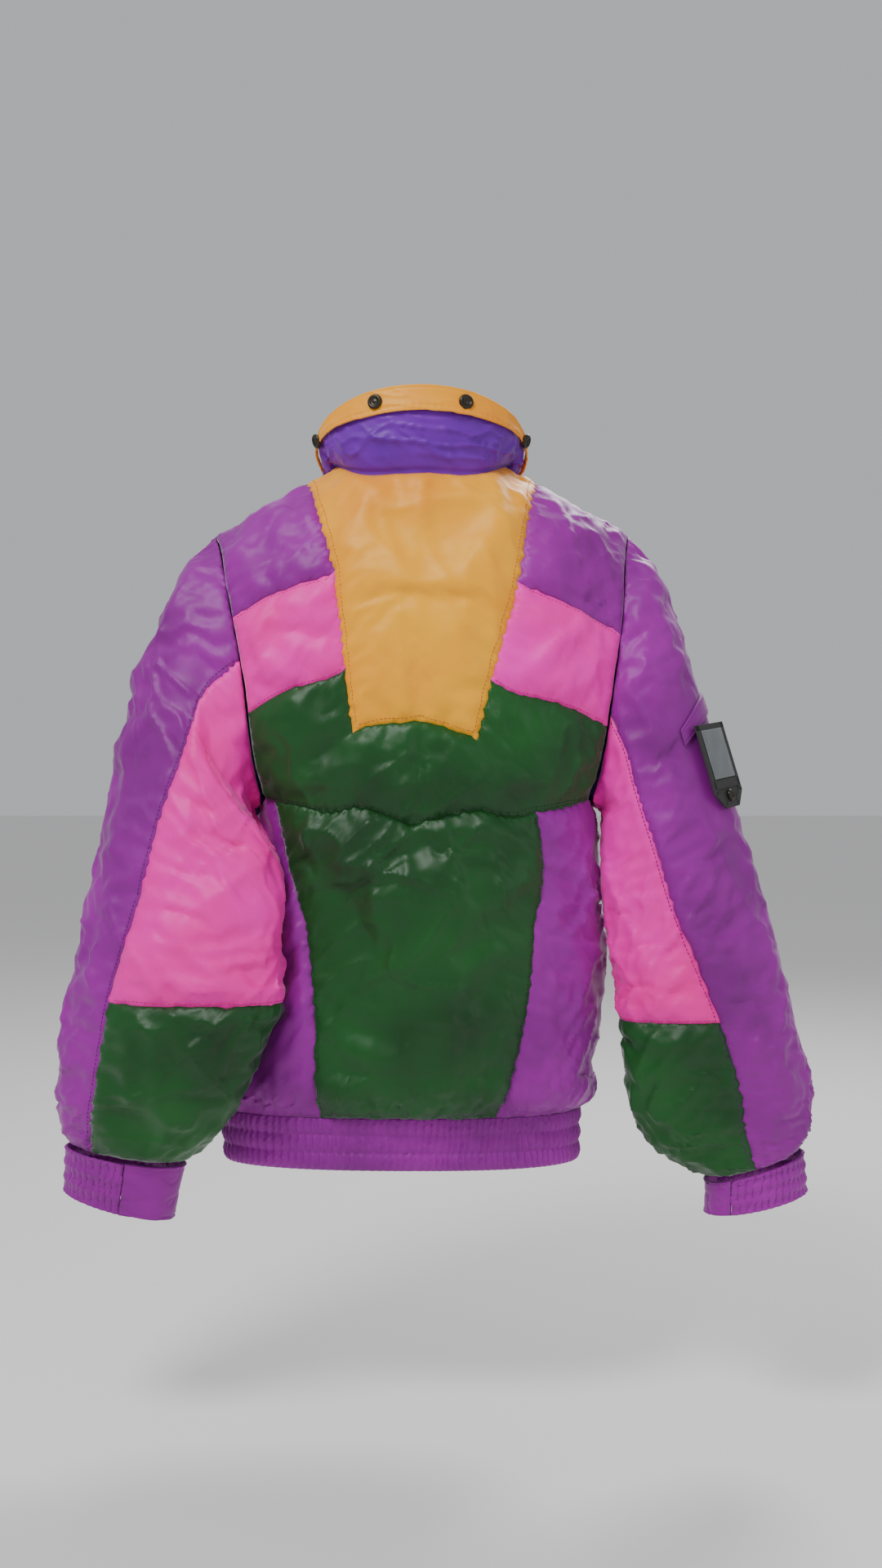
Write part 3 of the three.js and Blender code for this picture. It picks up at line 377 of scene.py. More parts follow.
# ---------------------------------------------------------------- sleeves
# Each ring has an outer and an inner end as (x, z), how far back each lies, and its half-depth.
RINGS = {
    1: [((249, -101), (173, -328), (3, 22), 64), ((283, -203), (156, -352), (15, 66), 56),
        ((305, -303), (143, -396), (30, 82), 53), ((324, -400), (135, -441), (43, 92), 52),
        ((345, -508), (131, -511), (53, 100), 52), ((354, -585), (156, -578), (53, 100), 50),
        ((354, -628), (194, -636), (50, 88), 46), ((348, -657), (232, -674), (45, 70), 40),
        ((349, -661), (233, -677), (45, 70), 38), ((351, -706), (245, -731), (45, 66), 36)],
    -1: [((-247, -103), (-182, -329), (3, 14), 64), ((-279, -204), (-185, -348), (10, 26), 58),
         ((-310, -304), (-187, -392), (20, 33), 54), ((-337, -403), (-190, -441), (27, 35), 52),
         ((-368, -510), (-196, -520), (33, 40), 52), ((-385, -590), (-204, -590), (35, 43), 50),
         ((-388, -630), (-228, -650), (35, 43), 46), ((-379, -666), (-284, -695), (33, 40), 40),
         ((-380, -670), (-285, -699), (33, 40), 38), ((-384, -711), (-285, -733), (33, 38), 36)],
}
CUFF_TOP, CUFF_FOOT, SLEEVE_END = 9, 10, 8
# The seam between the outer and the rear cloth, in degrees from the outer end of each ring.
SEAM_DEGREES = {1: (88, 92, 91, 80, 73, 63, 63, 65, 68), -1: (111, 118, 120, 113, 105, 91, 83, 86, 96)}
GREEN_FROM = {1: 5.05, -1: 5.25}
ARMHOLE_CLEARANCE = 0.2
TAB_DEGREES = {1: (104, 236), -1: (128, 232)}


def armhole_point(side, degrees):
    angle = np.radians(degrees)
    foot = -326
    z = (ARMHOLE_TOP + foot) / 2 + (ARMHOLE_TOP - foot) / 2 * np.cos(angle)
    x = curve(*[(height, x) for x, height in SEAMS[side]["armhole"]][::-1])(z)
    reach = surface_at(x, z, np.sin(angle) > 0)[..., 1] - MID_Y
    under = 6 * np.maximum(-np.cos(angle), 0) ** 6
    y = MID_Y + reach * np.abs(np.sin(angle)) ** 0.15
    return np.stack([x + side * (ARMHOLE_CLEARANCE + under), y, z], axis=-1)


def ring_point(side, number, degrees):
    degrees = np.asarray(degrees, float)
    if number == 0:
        return armhole_point(side, degrees)
    (outer_x, outer_z), (inner_x, inner_z), (outer_back, inner_back), depth = RINGS[side][number - 1]
    outer = np.array([outer_x, MID_Y + outer_back, outer_z], float)
    inner = np.array([inner_x, MID_Y + inner_back, inner_z], float)
    half = (outer - inner) / 2
    across = half / np.linalg.norm(half)
    deep = np.array([0, 1.0, 0]) - across[1] * across
    deep /= np.linalg.norm(deep)
    angle = np.radians(degrees)[..., None]
    return (outer + inner) / 2 + half * np.cos(angle) + deep * depth * np.sin(angle)


def sleeve_point(side, degrees, at):
    degrees, at = np.broadcast_arrays(np.asarray(degrees, float), np.asarray(at, float))
    rings = np.stack([ring_point(side, n, degrees) for n in range(SLEEVE_END + 1)])
    slope = np.gradient(rings, axis=0)
    i = np.clip(np.floor(at).astype(int), 0, SLEEVE_END - 1)
    t = (at - i)[..., None]
    spot = tuple(np.indices(at.shape))
    a, b, into, out_of = rings[(i, *spot)], rings[(i + 1, *spot)], slope[(i, *spot)], slope[(i + 1, *spot)]
    return a + (b - a) * t * t * (3 - 2 * t) + into * t * (1 - t) ** 2 - out_of * t * t * (1 - t)


def seam_degrees(side, at):
    return curve(*enumerate(SEAM_DEGREES[side]))(at)


class SleeveChart:
    """Lays a sleeve out flat: round it from its outer end, and down it from the armhole."""

    def __init__(self, side):
        self.side = side
        self.at = np.linspace(0, SLEEVE_END, 81)
        turn = np.linspace(0, 360, 61)
        rings = np.stack([sleeve_point(side, turn, np.full(61, at)) for at in self.at])
        self.girth = np.linalg.norm(np.diff(rings, axis=1), axis=2).sum(1)
        step = np.linalg.norm(np.diff(rings, axis=0), axis=2).mean(1)
        self.down = np.concatenate([[0], np.cumsum(step)])

    def to_chart(self, degrees, at):
        degrees, at = np.broadcast_arrays(np.asarray(degrees, float), np.asarray(at, float))
        across = (degrees / 360 - 0.5) * np.interp(at, self.at, self.girth)
        return np.stack([across, -np.interp(at, self.at, self.down)], axis=-1)

    def from_chart(self, place):
        at = np.interp(-place[:, 1], self.down, self.at)
        return (place[:, 0] / np.interp(at, self.at, self.girth) + 0.5) * 360, at

    def lines(self):
        at = np.linspace(0, SLEEVE_END, 97)
        green = GREEN_FROM[self.side]
        at = np.sort(np.append(at, green))
        seam = seam_degrees(self.side, at)
        green_seam = float(seam_degrees(self.side, green))
        spread = [np.linspace(start, end, count)
                  for start, end, count in ((0, seam[0], 20), (seam[0], 360 - seam[0], 38), (360 - seam[0], 360, 20))]
        top = np.concatenate([spread[0], spread[1][1:], spread[2][1:]])
        spread = [np.linspace(start, end, count)
                  for start, end, count in ((0, seam[-1], 14), (seam[-1], 360 - seam[-1], 26), (360 - seam[-1], 360, 14))]
        foot = np.concatenate([spread[0], spread[1][1:], spread[2][1:]])
        across = np.linspace(green_seam, 360 - green_seam, 44)
        return {
            "top": self.to_chart(top, 0), "foot": self.to_chart(foot, SLEEVE_END),
            "cut_a": self.to_chart(0, at), "cut_b": self.to_chart(360, at),
            "rear": self.to_chart(seam, at), "fore": self.to_chart(360 - seam, at),
            "green": self.to_chart(across, green),
        }

    def seeds(self):
        name = "left" if self.side > 0 else "right"
        return {
            f"sleeve_outer_{name}": [self.to_chart(8, 4), self.to_chart(352, 4)],
            f"sleeve_inner_{name}": [self.to_chart(180, 3)],
            f"sleeve_lower_{name}": [self.to_chart(180, 7)],
        }


# ---------------------------------------------------------------- cloth simulation
def mesh_object(name, points, faces, scale=MM):
    """A mesh object in the row frame, from points in the cutter's millimetres."""
    mesh = bpy.data.meshes.new(name)
    placed = (np.asarray(points, float) + (0, LOOP_Y, 0)) * scale
    mesh.from_pydata(placed.tolist(), [], [[int(i) for i in face] for face in faces])
    mesh.update()
    obj = bpy.data.objects.new(name, mesh)
    bpy.context.scene.collection.objects.link(obj)
    return obj


def mesh_points(mesh):
    points = np.empty(len(mesh.vertices) * 3)
    mesh.vertices.foreach_get("co", points)
    return points.reshape(-1, 3) / MM - (0, LOOP_Y, 0)


def mesh_normals(mesh):
    normals = np.empty(len(mesh.vertices) * 3)
    mesh.vertex_normals.foreach_get("vector", normals)
    return normals.reshape(-1, 3)


def weight_group(obj, name, weights):
    group = obj.vertex_groups.new(name=name)
    for level in np.unique(np.round(weights, 2)):
        if level > 0:
            group.add(np.nonzero(np.round(weights, 2) == level)[0].tolist(), float(level), "REPLACE")
    return name


def draped(obj, pinned, firm, spare, pressure, frames):
    """Lets the cloth of obj settle with some spare width, held where pinned, and gives its points."""
    weight_group(obj, "pinned", pinned)
    weight_group(obj, "firm", firm)
    modifier = obj.modifiers.new("Cloth", "CLOTH")
    cloth = modifier.settings
    cloth.quality = 7
    cloth.mass = 0.12
    cloth.air_damping = 3
    cloth.tension_stiffness = cloth.compression_stiffness = 28
    cloth.shear_stiffness = 12
    cloth.bending_stiffness = 0.06
    cloth.tension_damping = cloth.compression_damping = cloth.shear_damping = 8
    cloth.bending_damping = 0.6
    cloth.vertex_group_mass = "pinned"
    cloth.pin_stiffness = 1.0
    cloth.shrink_min = -spare
    cloth.shrink_max = 0
    cloth.vertex_group_shrink = "firm"
    cloth.use_pressure = True
    cloth.uniform_pressure_force = pressure
    modifier.collision_settings.use_collision = False
    modifier.point_cache.frame_start, modifier.point_cache.frame_end = 1, frames
    scene = bpy.context.scene
    scene.frame_start, scene.frame_end = 1, frames
    for frame_number in range(1, frames + 1):
        scene.frame_set(frame_number)
    settled = obj.evaluated_get(bpy.context.evaluated_depsgraph_get())
    points = mesh_points(settled.data)
    obj.modifiers.remove(modifier)
    scene.frame_set(1)
    return points


def subdivided(obj, label):
    """The mesh of obj once more divided and smoothed, with the label of each face."""
    obj.data.polygons.foreach_set("material_index", label)
    for number in range(int(label.max()) + 1 - len(obj.data.materials)):
        obj.data.materials.append(None)
    modifier = obj.modifiers.new("Divide", "SUBSURF")
    modifier.levels = modifier.render_levels = 1
    mesh = bpy.data.meshes.new_from_object(obj.evaluated_get(bpy.context.evaluated_depsgraph_get()))
    faces = np.array([list(face.vertices) for face in mesh.polygons])
    new_label = np.empty(len(faces), int)
    mesh.polygons.foreach_get("material_index", new_label)
    points = mesh_points(mesh)
    bpy.data.meshes.remove(mesh)
    obj.modifiers.remove(modifier)
    return points, faces, new_label


# ---------------------------------------------------------------- meshes
def tree_of(points):
    tree = KDTree(len(points))
    for i, point in enumerate(points):
        tree.insert(point, i)
    tree.balance()
    return tree


def grid_faces(rows, columns, wrapped=False):
    faces = []
    for r in range(rows - 1):
        for c in range(columns if wrapped else columns - 1):
            after = (c + 1) % columns
            faces.append((r * columns + c, r * columns + after, (r + 1) * columns + after, (r + 1) * columns + c))
    return np.array(faces)


def vertex_normals(points, faces):
    """Area-weighted normals. faces all have the same number of corners."""
    a, b, c = points[faces[:, 0]], points[faces[:, 1]], points[faces[:, 2]]
    d = points[faces[:, -1]]
    across = np.cross(c - a, d - b) if faces.shape[1] == 4 else np.cross(b - a, c - a)
    normals = np.zeros_like(points)
    for corner in range(faces.shape[1]):
        np.add.at(normals, faces[:, corner], across)
    length = np.linalg.norm(normals, axis=1, keepdims=True)
    return normals / np.maximum(length, 1e-9)


def border_edges(faces):
    """The edges with one face only, in that face's direction."""
    corners = faces.shape[1]
    edges = np.concatenate([faces[:, [k, (k + 1) % corners]] for k in range(corners)])
    key = np.sort(edges, axis=1)
    _, first, count = np.unique(key, axis=0, return_index=True, return_counts=True)
    return edges[first[count == 1]]


def closed_sheet(points, faces, thickness, normals=None):
    """The sheet with an inner face thickness below it and a rim between the two."""
    normals = vertex_normals(points, faces) if normals is None else normals
    count = len(points)
    inner = points - normals * thickness
    rim = [(b, a, a + count, b + count) for a, b in border_edges(faces)]
    everything = [*faces.tolist(), *(faces[:, ::-1] + count).tolist(), *rim]
    return np.concatenate([points, inner]), everything


# For each sleeve: a direction outward from the armhole, and where a stretch along it starts and ends.
SLEEVE_TURN = {"sleeve_left": ((0.9, -0.44), 281, 355), "sleeve_right": ((-0.95, -0.31), 260, 335)}


def smooth(obj):
    obj.data.polygons.foreach_set("use_smooth", [True] * len(obj.data.polygons))
    obj.data.update()
    return obj


def finished(obj, material, body, node=None):
    """Shades a piece, gives it its finish, and hangs it on its body in place of its CAD node; a sleeve's piece is baked
    where it stands and not hung.
    """
    obj.data.materials.clear()
    obj.data.materials.append(material)
    if body in SLEEVE_TURN:
        (across, down), start, end = SLEEVE_TURN[body]
        first, last = ((across * reach * MM, 0, down * reach * MM) for reach in (start, end))
        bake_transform(obj)
        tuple(first)
        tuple(last)
    else:
        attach(obj, body)
    if node:
        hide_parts(node)
    return obj


# ---------------------------------------------------------------- materials
def srgb(red, green, blue):
    def linear(value):
        value /= 255
        return value / 12.92 if value <= 0.04045 else ((value + 0.055) / 1.055) ** 2.4

    return (*(linear(v) for v in (red, green, blue)), 1)


def new_material(name):
    material = bpy.data.materials.new(name)
    material.use_nodes = True
    nodes, links = material.node_tree.nodes, material.node_tree.links
    return material, nodes, links, nodes["Principled BSDF"]


def noise(nodes, links, scale, detail, coordinates):
    texture = nodes.new("ShaderNodeTexNoise")
    texture.inputs["Scale"].default_value = scale
    texture.inputs["Detail"].default_value = detail
    links.new(coordinates, texture.inputs["Vector"])
    return texture


def taffeta(name, dark, light, roughness=0.5, sheen=0.2):
    """Satin nylon: a slow change of tone, the fine grain of the weave, and small crumples."""
    material, nodes, links, shader = new_material(name)
    place = nodes.new("ShaderNodeTexCoord").outputs["Object"]
    tone = noise(nodes, links, 9, 3, place)
    ramp = nodes.new("ShaderNodeValToRGB")
    ramp.color_ramp.elements[0].position, ramp.color_ramp.elements[1].position = 0.3, 0.7
    ramp.color_ramp.elements[0].color, ramp.color_ramp.elements[1].color = srgb(*dark), srgb(*light)
    links.new(tone.outputs["Fac"], ramp.inputs["Fac"])
    links.new(ramp.outputs["Color"], shader.inputs["Base Color"])
    shader.inputs["Roughness"].default_value = roughness
    shader.inputs["Sheen Weight"].default_value = sheen
    shader.inputs["Sheen Roughness"].default_value = 0.4
    shader.inputs["Specular IOR Level"].default_value = 0.38
    crumple = noise(nodes, links, 75, 3, place)
    low = nodes.new("ShaderNodeBump")
    low.inputs["Strength"].default_value = 0.22
    low.inputs["Distance"].default_value = 0.0012
    links.new(crumple.outputs["Fac"], low.inputs["Height"])
    grain = noise(nodes, links, 1400, 1, place)
    fine = nodes.new("ShaderNodeBump")
    fine.inputs["Strength"].default_value = 0.25
    fine.inputs["Distance"].default_value = 0.0002
    links.new(grain.outputs["Fac"], fine.inputs["Height"])
    links.new(low.outputs["Normal"], fine.inputs["Normal"])
    links.new(fine.outputs["Normal"], shader.inputs["Normal"])
    return material


def plain(name, colour, roughness, metallic=0.0, grain=0.0):
    material, nodes, links, shader = new_material(name)
    shader.inputs["Base Color"].default_value = srgb(*colour)
    shader.inputs["Roughness"].default_value = roughness
    shader.inputs["Metallic"].default_value = metallic
    place = nodes.new("ShaderNodeTexCoord").outputs["Object"]
    bump = nodes.new("ShaderNodeBump")
    bump.inputs["Strength"].default_value = 0.3
    bump.inputs["Distance"].default_value = grain
    links.new(noise(nodes, links, 900, 2, place).outputs["Fac"], bump.inputs["Height"])
    links.new(bump.outputs["Normal"], shader.inputs["Normal"])
    return material


CLOTHS = {
    "amber": taffeta("amber_shell", (244, 146, 0), (255, 178, 0)),
    "purple": taffeta("purple_shell", (118, 2, 122), (158, 10, 160)),
    "pink": taffeta("pink_shell", (250, 0, 158), (255, 2, 190), 0.52),
    "green": taffeta("green_shell", (2, 52, 12), (8, 84, 24), 0.45),
    "collar": taffeta("collar_shell", (92, 6, 150), (126, 16, 186)),
    "lining": taffeta("lining", (70, 32, 110), (92, 48, 140), 0.5),
    "wadding": plain("wadding", (225, 222, 214), 0.95, grain=0.001),
    "amber_thread": plain("amber_thread", (196, 96, 0), 0.6, grain=0.0001),
    "purple_thread": plain("purple_thread", (80, 0, 92), 0.6, grain=0.0001),
    "pink_thread": plain("pink_thread", (206, 0, 110), 0.6, grain=0.0001),
    "green_thread": plain("green_thread", (6, 40, 14), 0.6, grain=0.0001),
    "black": plain("black_webbing", (42, 42, 40), 0.6, grain=0.0004),
    "snap": plain("snap", (58, 52, 44), 0.32, 0.7, 0.0001),
    "tape": plain("zip_tape", (70, 26, 92), 0.7, grain=0.0003),
    "metal": plain("zip_metal", (150, 150, 152), 0.28, 1.0, 0.00005),
}

FILM = plain("clear_window", (214, 220, 224), 0.12, grain=0.0002)
FILM.node_tree.nodes["Principled BSDF"].inputs["Transmission Weight"].default_value = 0.85
FILM.node_tree.nodes["Principled BSDF"].inputs["IOR"].default_value = 1.3

PANEL_CLOTH = {"back_yoke": "amber", "back_band": "green", "back_panel": "green"}
for _name in ("left", "right"):
    PANEL_CLOTH.update({
        f"back_shoulder_{_name}": "purple", f"front_shoulder_{_name}": "purple", f"side_panel_{_name}": "purple",
        f"back_stripe_{_name}": "pink", f"front_stripe_{_name}": "pink", f"front_yoke_{_name}": "amber",
        f"front_band_{_name}": "green", f"front_panel_{_name}": "green", f"sleeve_outer_{_name}": "purple",
        f"sleeve_inner_{_name}": "pink", f"sleeve_lower_{_name}": "green",
    })


# ---------------------------------------------------------------- the shell
PUCKER_REACH = 11.0  # how far the puckers of a seam reach into a panel
GROOVE_DEPTH, GROOVE_REACH = 1.5, 4.0
SHELL = 1.4
INWARD, OUTWARD = 3.0, 12.0  # how far the cloth may settle from its cut shape


def sewn_lines(lines, edges):
    return {name: line for name, line in lines.items() if name not in edges}


def line_marks(lines, place, step=1.5):
    """Points every step along the seams, each with its distance along the seam: (points, along)."""
    points, along = [], []
    for number, line in enumerate(lines.values()):
        dense = resample(line, step, smooth=False)
        spots = place(dense)
        length = np.concatenate([[0], np.cumsum(np.linalg.norm(np.diff(spots, axis=0), axis=1))])
        points.append(spots)
        along.append(length + 37.0 * number)
    return np.concatenate(points), np.concatenate(along)


def pucker(points, normals, marks, amount):
    """Pulls the cloth in along the seams and gathers it into small ripples across them."""
    spots, along = marks
    tree = tree_of(spots)
    shift = np.zeros(len(points))
    for i, point in enumerate(points):
        _, number, gap = tree.find(point)
        if gap < 3 * PUCKER_REACH:
            walk = along[number]
            beat = math.sin(walk * 0.62 + 2.1 * math.sin(walk * 0.043)) + 0.6 * math.sin(walk * 0.37 + 1.3)
            fade = math.exp(-((gap / PUCKER_REACH) ** 2))
            strength = 0.55 + 0.45 * math.sin(walk * 0.021 + 0.7)
            shift[i] = amount * strength * fade * min(gap / 3, 1) * beat
            shift[i] -= GROOVE_DEPTH * math.exp(-((gap / GROOVE_REACH) ** 2))
    return points + normals * shift[:, None]


def beside_seams(points, marks, reach, least):
    """least on a seam, and 1 beyond reach from it."""
    tree = tree_of(marks[0])
    gap = np.array([tree.find(point)[2] for point in points])
    return least + (1 - least) * level(gap, 0, reach)


def calm_share(points, spots):
    """1 where creases are free to form, and 0 near the spots, each a (place, radius)."""
    share = np.ones(len(points))
    for place, radius in spots:
        gap = np.linalg.norm(points - np.array(place), axis=1)
        share = np.minimum(share, level(gap, radius, radius * 1.8))
    return share


def kept_near(points, start, normals):
    """Limits how far each point has moved from its start, along and across the cloth."""
    move = points - start
    out = np.sum(move * normals, axis=1)
    held = np.clip(out, -INWARD, OUTWARD)
    return points + normals * (held - out)[:, None]


def cut_and_drape(name, chart_lines, seeds, place, edge_names, spare, pressure, frames, pins, calm):
    """Cuts a garment part and lets it settle: points, faces and labels, and the cut area of each panel."""
    flat, faces, label = cut_cloth(chart_lines, seeds)
    start, faces, label = welded(place(flat), faces, label)
    seams, _ = line_marks(chart_lines, place, 3)
    tree = tree_of(seams)
    gap = np.array([tree.find(point)[2] for point in start])
    firm = np.clip(1 - gap / 14, 0, 1)
    cut_areas = areas_before_sewing(start, faces, label, 1 + spare * (1 - firm))
    edge_marks, _ = line_marks({n: chart_lines[n] for n in edge_names}, place, 3)
    edge_tree = tree_of(edge_marks)
    edge_gap = np.array([edge_tree.find(point)[2] for point in start])
    pinned = np.where(edge_gap < 0.5, 1.0, np.where(gap < 0.5, pins, 0.0))
    pinned = np.maximum(pinned, 1 - calm_share(start, calm))
    obj = mesh_object(name, start, faces)
    smooth(obj)
    base_points, base_faces, base_label = subdivided(obj, label)
    base_normals = vertex_normals(base_points, base_faces)
    settled = draped(obj, pinned, firm, spare, pressure, frames)
    flattened = (settled + (0, LOOP_Y, 0)) * MM
    obj.data.vertices.foreach_set("co", flattened.ravel())
    points, faces, label = subdivided(obj, label)
    bpy.data.objects.remove(obj)
    points = kept_near(points, base_points, base_normals)
    return points, faces, label, cut_areas


def areas_before_sewing(points, faces, label, growth):
    """The flat area of each panel in square metres, with its spare width."""
    a, b, c = (points[faces[:, k]] for k in range(3))
    area = np.linalg.norm(np.cross(b - a, c - a), axis=1) / 2 * growth[faces].mean(1) ** 2
    return np.bincount(label, area) * MM * MM


def hung_sheet(piece, area=None):
    """Works out the area and spans of a piece of cloth, from its cut area or from its own where it wasn't simulated,
    and gives the piece back as it is.
    """
    points = mesh_points(piece.data) * MM
    area = sum(face.area for face in piece.data.polygons) / 2 if area is None else float(area)
    spans = sorted(points.max(0) - points.min(0))
    length, width = spans[2], max(spans[1], 1.02 * area / spans[2])
    max(area, 0.31 * float(width * length))
    return piece


def flat_strip(piece):
    """Gives the strip of cloth back as it is."""
    return piece


STITCH_LENGTH, STITCH_GAP, STITCH_WIDTH, STITCH_RISE = 2.8, 1.3, 0.9, 0.35


def shifted(line, offset):
    """The line moved to one side in the chart, with its ends drawn in a little."""
    dense = resample(line, 2.0, smooth=False)
    tangent = np.gradient(dense, axis=0)
    tangent /= np.maximum(np.linalg.norm(tangent, axis=1, keepdims=True), 1e-9)
    moved = dense + np.stack([-tangent[:, 1], tangent[:, 0]], axis=-1) * offset
    return moved[2:-2]


def stitched(name, rows, place, points, faces, cloth, body):
    """Rows of thread on the settled cloth. rows are lines in the chart."""
    tree = BVHTree.FromPolygons(points.tolist(), faces.tolist())
    verts, quads = [], []
    for row in rows:
        spots = place(row)
        walk = np.concatenate([[0], np.cumsum(np.linalg.norm(np.diff(spots, axis=0), axis=1))])
        starts = np.arange(0.5, walk[-1] - STITCH_LENGTH, STITCH_LENGTH + STITCH_GAP)
        for start in starts:
            ends = []
            for at in (start, start + STITCH_LENGTH):
                spot = [np.interp(at, walk, spots[:, k]) for k in range(3)]
                found = tree.find_nearest(Vector(spot))
                ends.append((found[0], found[1]))
            (a, normal), (b, _) = ends
            along = (b - a).normalized()
            side = along.cross(normal).normalized() * STITCH_WIDTH / 2
            base = len(verts)
            lift = normal * STITCH_RISE
            for end, pull in ((a, 0.35), (b, -0.35)):
                verts.extend((end - side - lift * 0.4, end + side - lift * 0.4,
                              end + side * 0.5 + lift + along * pull, end - side * 0.5 + lift + along * pull))
            quads.extend(((base, base + 4, base + 5, base + 1), (base + 1, base + 5, base + 6, base + 2),
                          (base + 2, base + 6, base + 7, base + 3), (base + 3, base + 7, base + 4, base),
                          (base, base + 1, base + 2, base + 3), (base + 7, base + 6, base + 5, base + 4)))
    thread = mesh_object(name, [tuple(v) for v in verts], quads)
    return finished(thread, CLOTHS[f"{cloth}_thread"], body, None)


def panels(points, faces, label, names, body, cut_areas):
    """Makes one closed piece for each panel."""
    normals = vertex_normals(points, faces)
    pieces = {}
    for number, name in enumerate(names):
        mine = faces[label == number]
        used, compact = np.unique(mine, return_inverse=True)
        outer, everything = closed_sheet(points[used], compact.reshape(mine.shape), SHELL, normals[used])
        piece = smooth(mesh_object(f"{name}_shell", outer, everything))
        cloth = PANEL_CLOTH[name]
        finished(piece, CLOTHS[cloth], body, name)
        pieces[name] = hung_sheet(piece, area=cut_areas[number])
    return pieces


def body_stitches(lines):
    """Where thread shows on the body: {cloth: rows in the chart}."""
    rows = {"amber": [shifted(lines["yoke_foot"], 5), shifted(lines["neck_back"], 4)],
            "green": [shifted(lines["band_foot"], 2), shifted(lines["band_foot"], 5)], "purple": [], "pink": []}
    for side, name in ((1, "left"), (-1, "right")):
        rows["amber"].append(shifted(lines[f"yoke_{name}"], -5 * side))
        rows["amber"].append(shifted(lines[f"front_yoke_{name}"], 5 * side))
        rows["pink"].append(shifted(lines[f"stripe_{name}"], -2.6 * side))
        rows["pink"].append(shifted(lines[f"band_{name}"], 2.6 * side))
        rows["green"].append(shifted(lines[f"panel_{name}"], -2.8 * side))
        rows["green"].append(shifted(lines[f"front_panel_{name}"], 2.8 * side))
        rows["purple"].append(shifted(lines[f"zip_{name}"], 5 * side))
    return rows


def place_body(flat):
    return torso(*from_chart(flat))


def make_body():
    lines = body_lines()
    seeds = {name: [to_chart(np.array([a]), np.array([z]))[0] for a, z in spots] for name, spots in BODY_SEEDS.items()}
    edges = [name for name in lines if name.split("_")[0] in ("neck", "zip", "hem", "armhole", "under")]
    calm = [(surface_at(side * (POCKET_TOP[0] + (POCKET_FOOT[0] - POCKET_TOP[0]) * t),
                        POCKET_TOP[1] + (POCKET_FOOT[1] - POCKET_TOP[1]) * t, False), 20)
            for side in (1, -1) for t in np.linspace(0, 1, 8)]
    points, faces, label, cut_areas = cut_and_drape("body_cloth", lines, seeds, place_body, edges, 0.045, 0.12,
                                                    30, 1.0, calm)
    marks = line_marks(lines, place_body)
    normals = vertex_normals(points, faces)
    lift = body_creases(points) * calm_share(points, calm) * beside_seams(points, marks, 14, 0.35)
    points = pucker(points + normals * lift[:, None], normals, marks, 0.55)
    for cloth, rows in body_stitches(lines).items():
        stitched(f"body_thread_{cloth}", rows, place_body, points, faces, cloth, "torso")
    return panels(points, faces, label, list(seeds), "torso", cut_areas)


def make_sleeve(side):
    name = "left" if side > 0 else "right"
    chart = SleeveChart(side)

    def place(flat):
        return sleeve_point(side, *chart.from_chart(flat))

    lines = chart.lines()
    seeds = chart.seeds()
    calm = []
    if side < 0:
        matrix = pass_matrix()
        calm = [(matrix @ Vector((x, -4, z)), 26) for x in (-16, 16) for z in (12, -14, -40, -66)]
    points, faces, label, cut_areas = cut_and_drape(f"sleeve_cloth_{name}", lines, seeds, place, ["top", "foot"],
                                                    0.06, 0.15, 30, 1.0, calm)
    sewn = {n: line for n, line in lines.items() if not n.startswith("cut")}
    marks = line_marks(sewn, place)
    normals = vertex_normals(points, faces)
    lift = sleeve_creases(points, side) * calm_share(points, calm) * beside_seams(points, marks, 14, 0.35)
    points = pucker(points + normals * lift[:, None], normals, marks, 0.55)
    turn = side
    rows = {"purple": [shifted(lines["rear"], -2.6 * turn), shifted(lines["fore"], 2.6 * turn)],
            "pink": [shifted(lines["green"], 2.6)]}
    for cloth, lines_of_thread in rows.items():
        stitched(f"sleeve_thread_{cloth}_{name}", lines_of_thread, place, points, faces, cloth, f"sleeve_{name}")
    return panels(points, faces, label, list(seeds), f"sleeve_{name}", cut_areas)


# ---------------------------------------------------------------- creases
def creases(points, along, length, width, seed, sharp=3.0, patch=0.0):
    """Ridges from 0 to 1 that run along a direction, as [x, y, z], for each point.
    patch is how much of the cloth is left smooth, from 0 to 1."""
    along = np.array(along, float) / np.linalg.norm(along)
    reach = points @ along
    across = points - reach[:, None] * along
    place = across / width + reach[:, None] * along / length
    found = np.empty(len(points))
    for i, spot in enumerate(place):
        spot = Vector(spot) + Vector((seed, 2.7 * seed, 0))
        bent = spot + 0.45 * wave.noise_vector(spot * 0.5)
        crest = max(1 - abs(wave.noise(bent)) * 2.6, 0) ** sharp
        where = wave.noise(spot * 0.33 + Vector((9.1, 3.3, seed)))
        found[i] = crest * min(max((where + 0.75 - patch) * 2.2, 0), 1)
    return found


def level(values, low, high):
    """0 below low, 1 above high, and smooth between."""
    t = np.clip((values - low) / (high - low), 0, 1)
    return t * t * (3 - 2 * t)


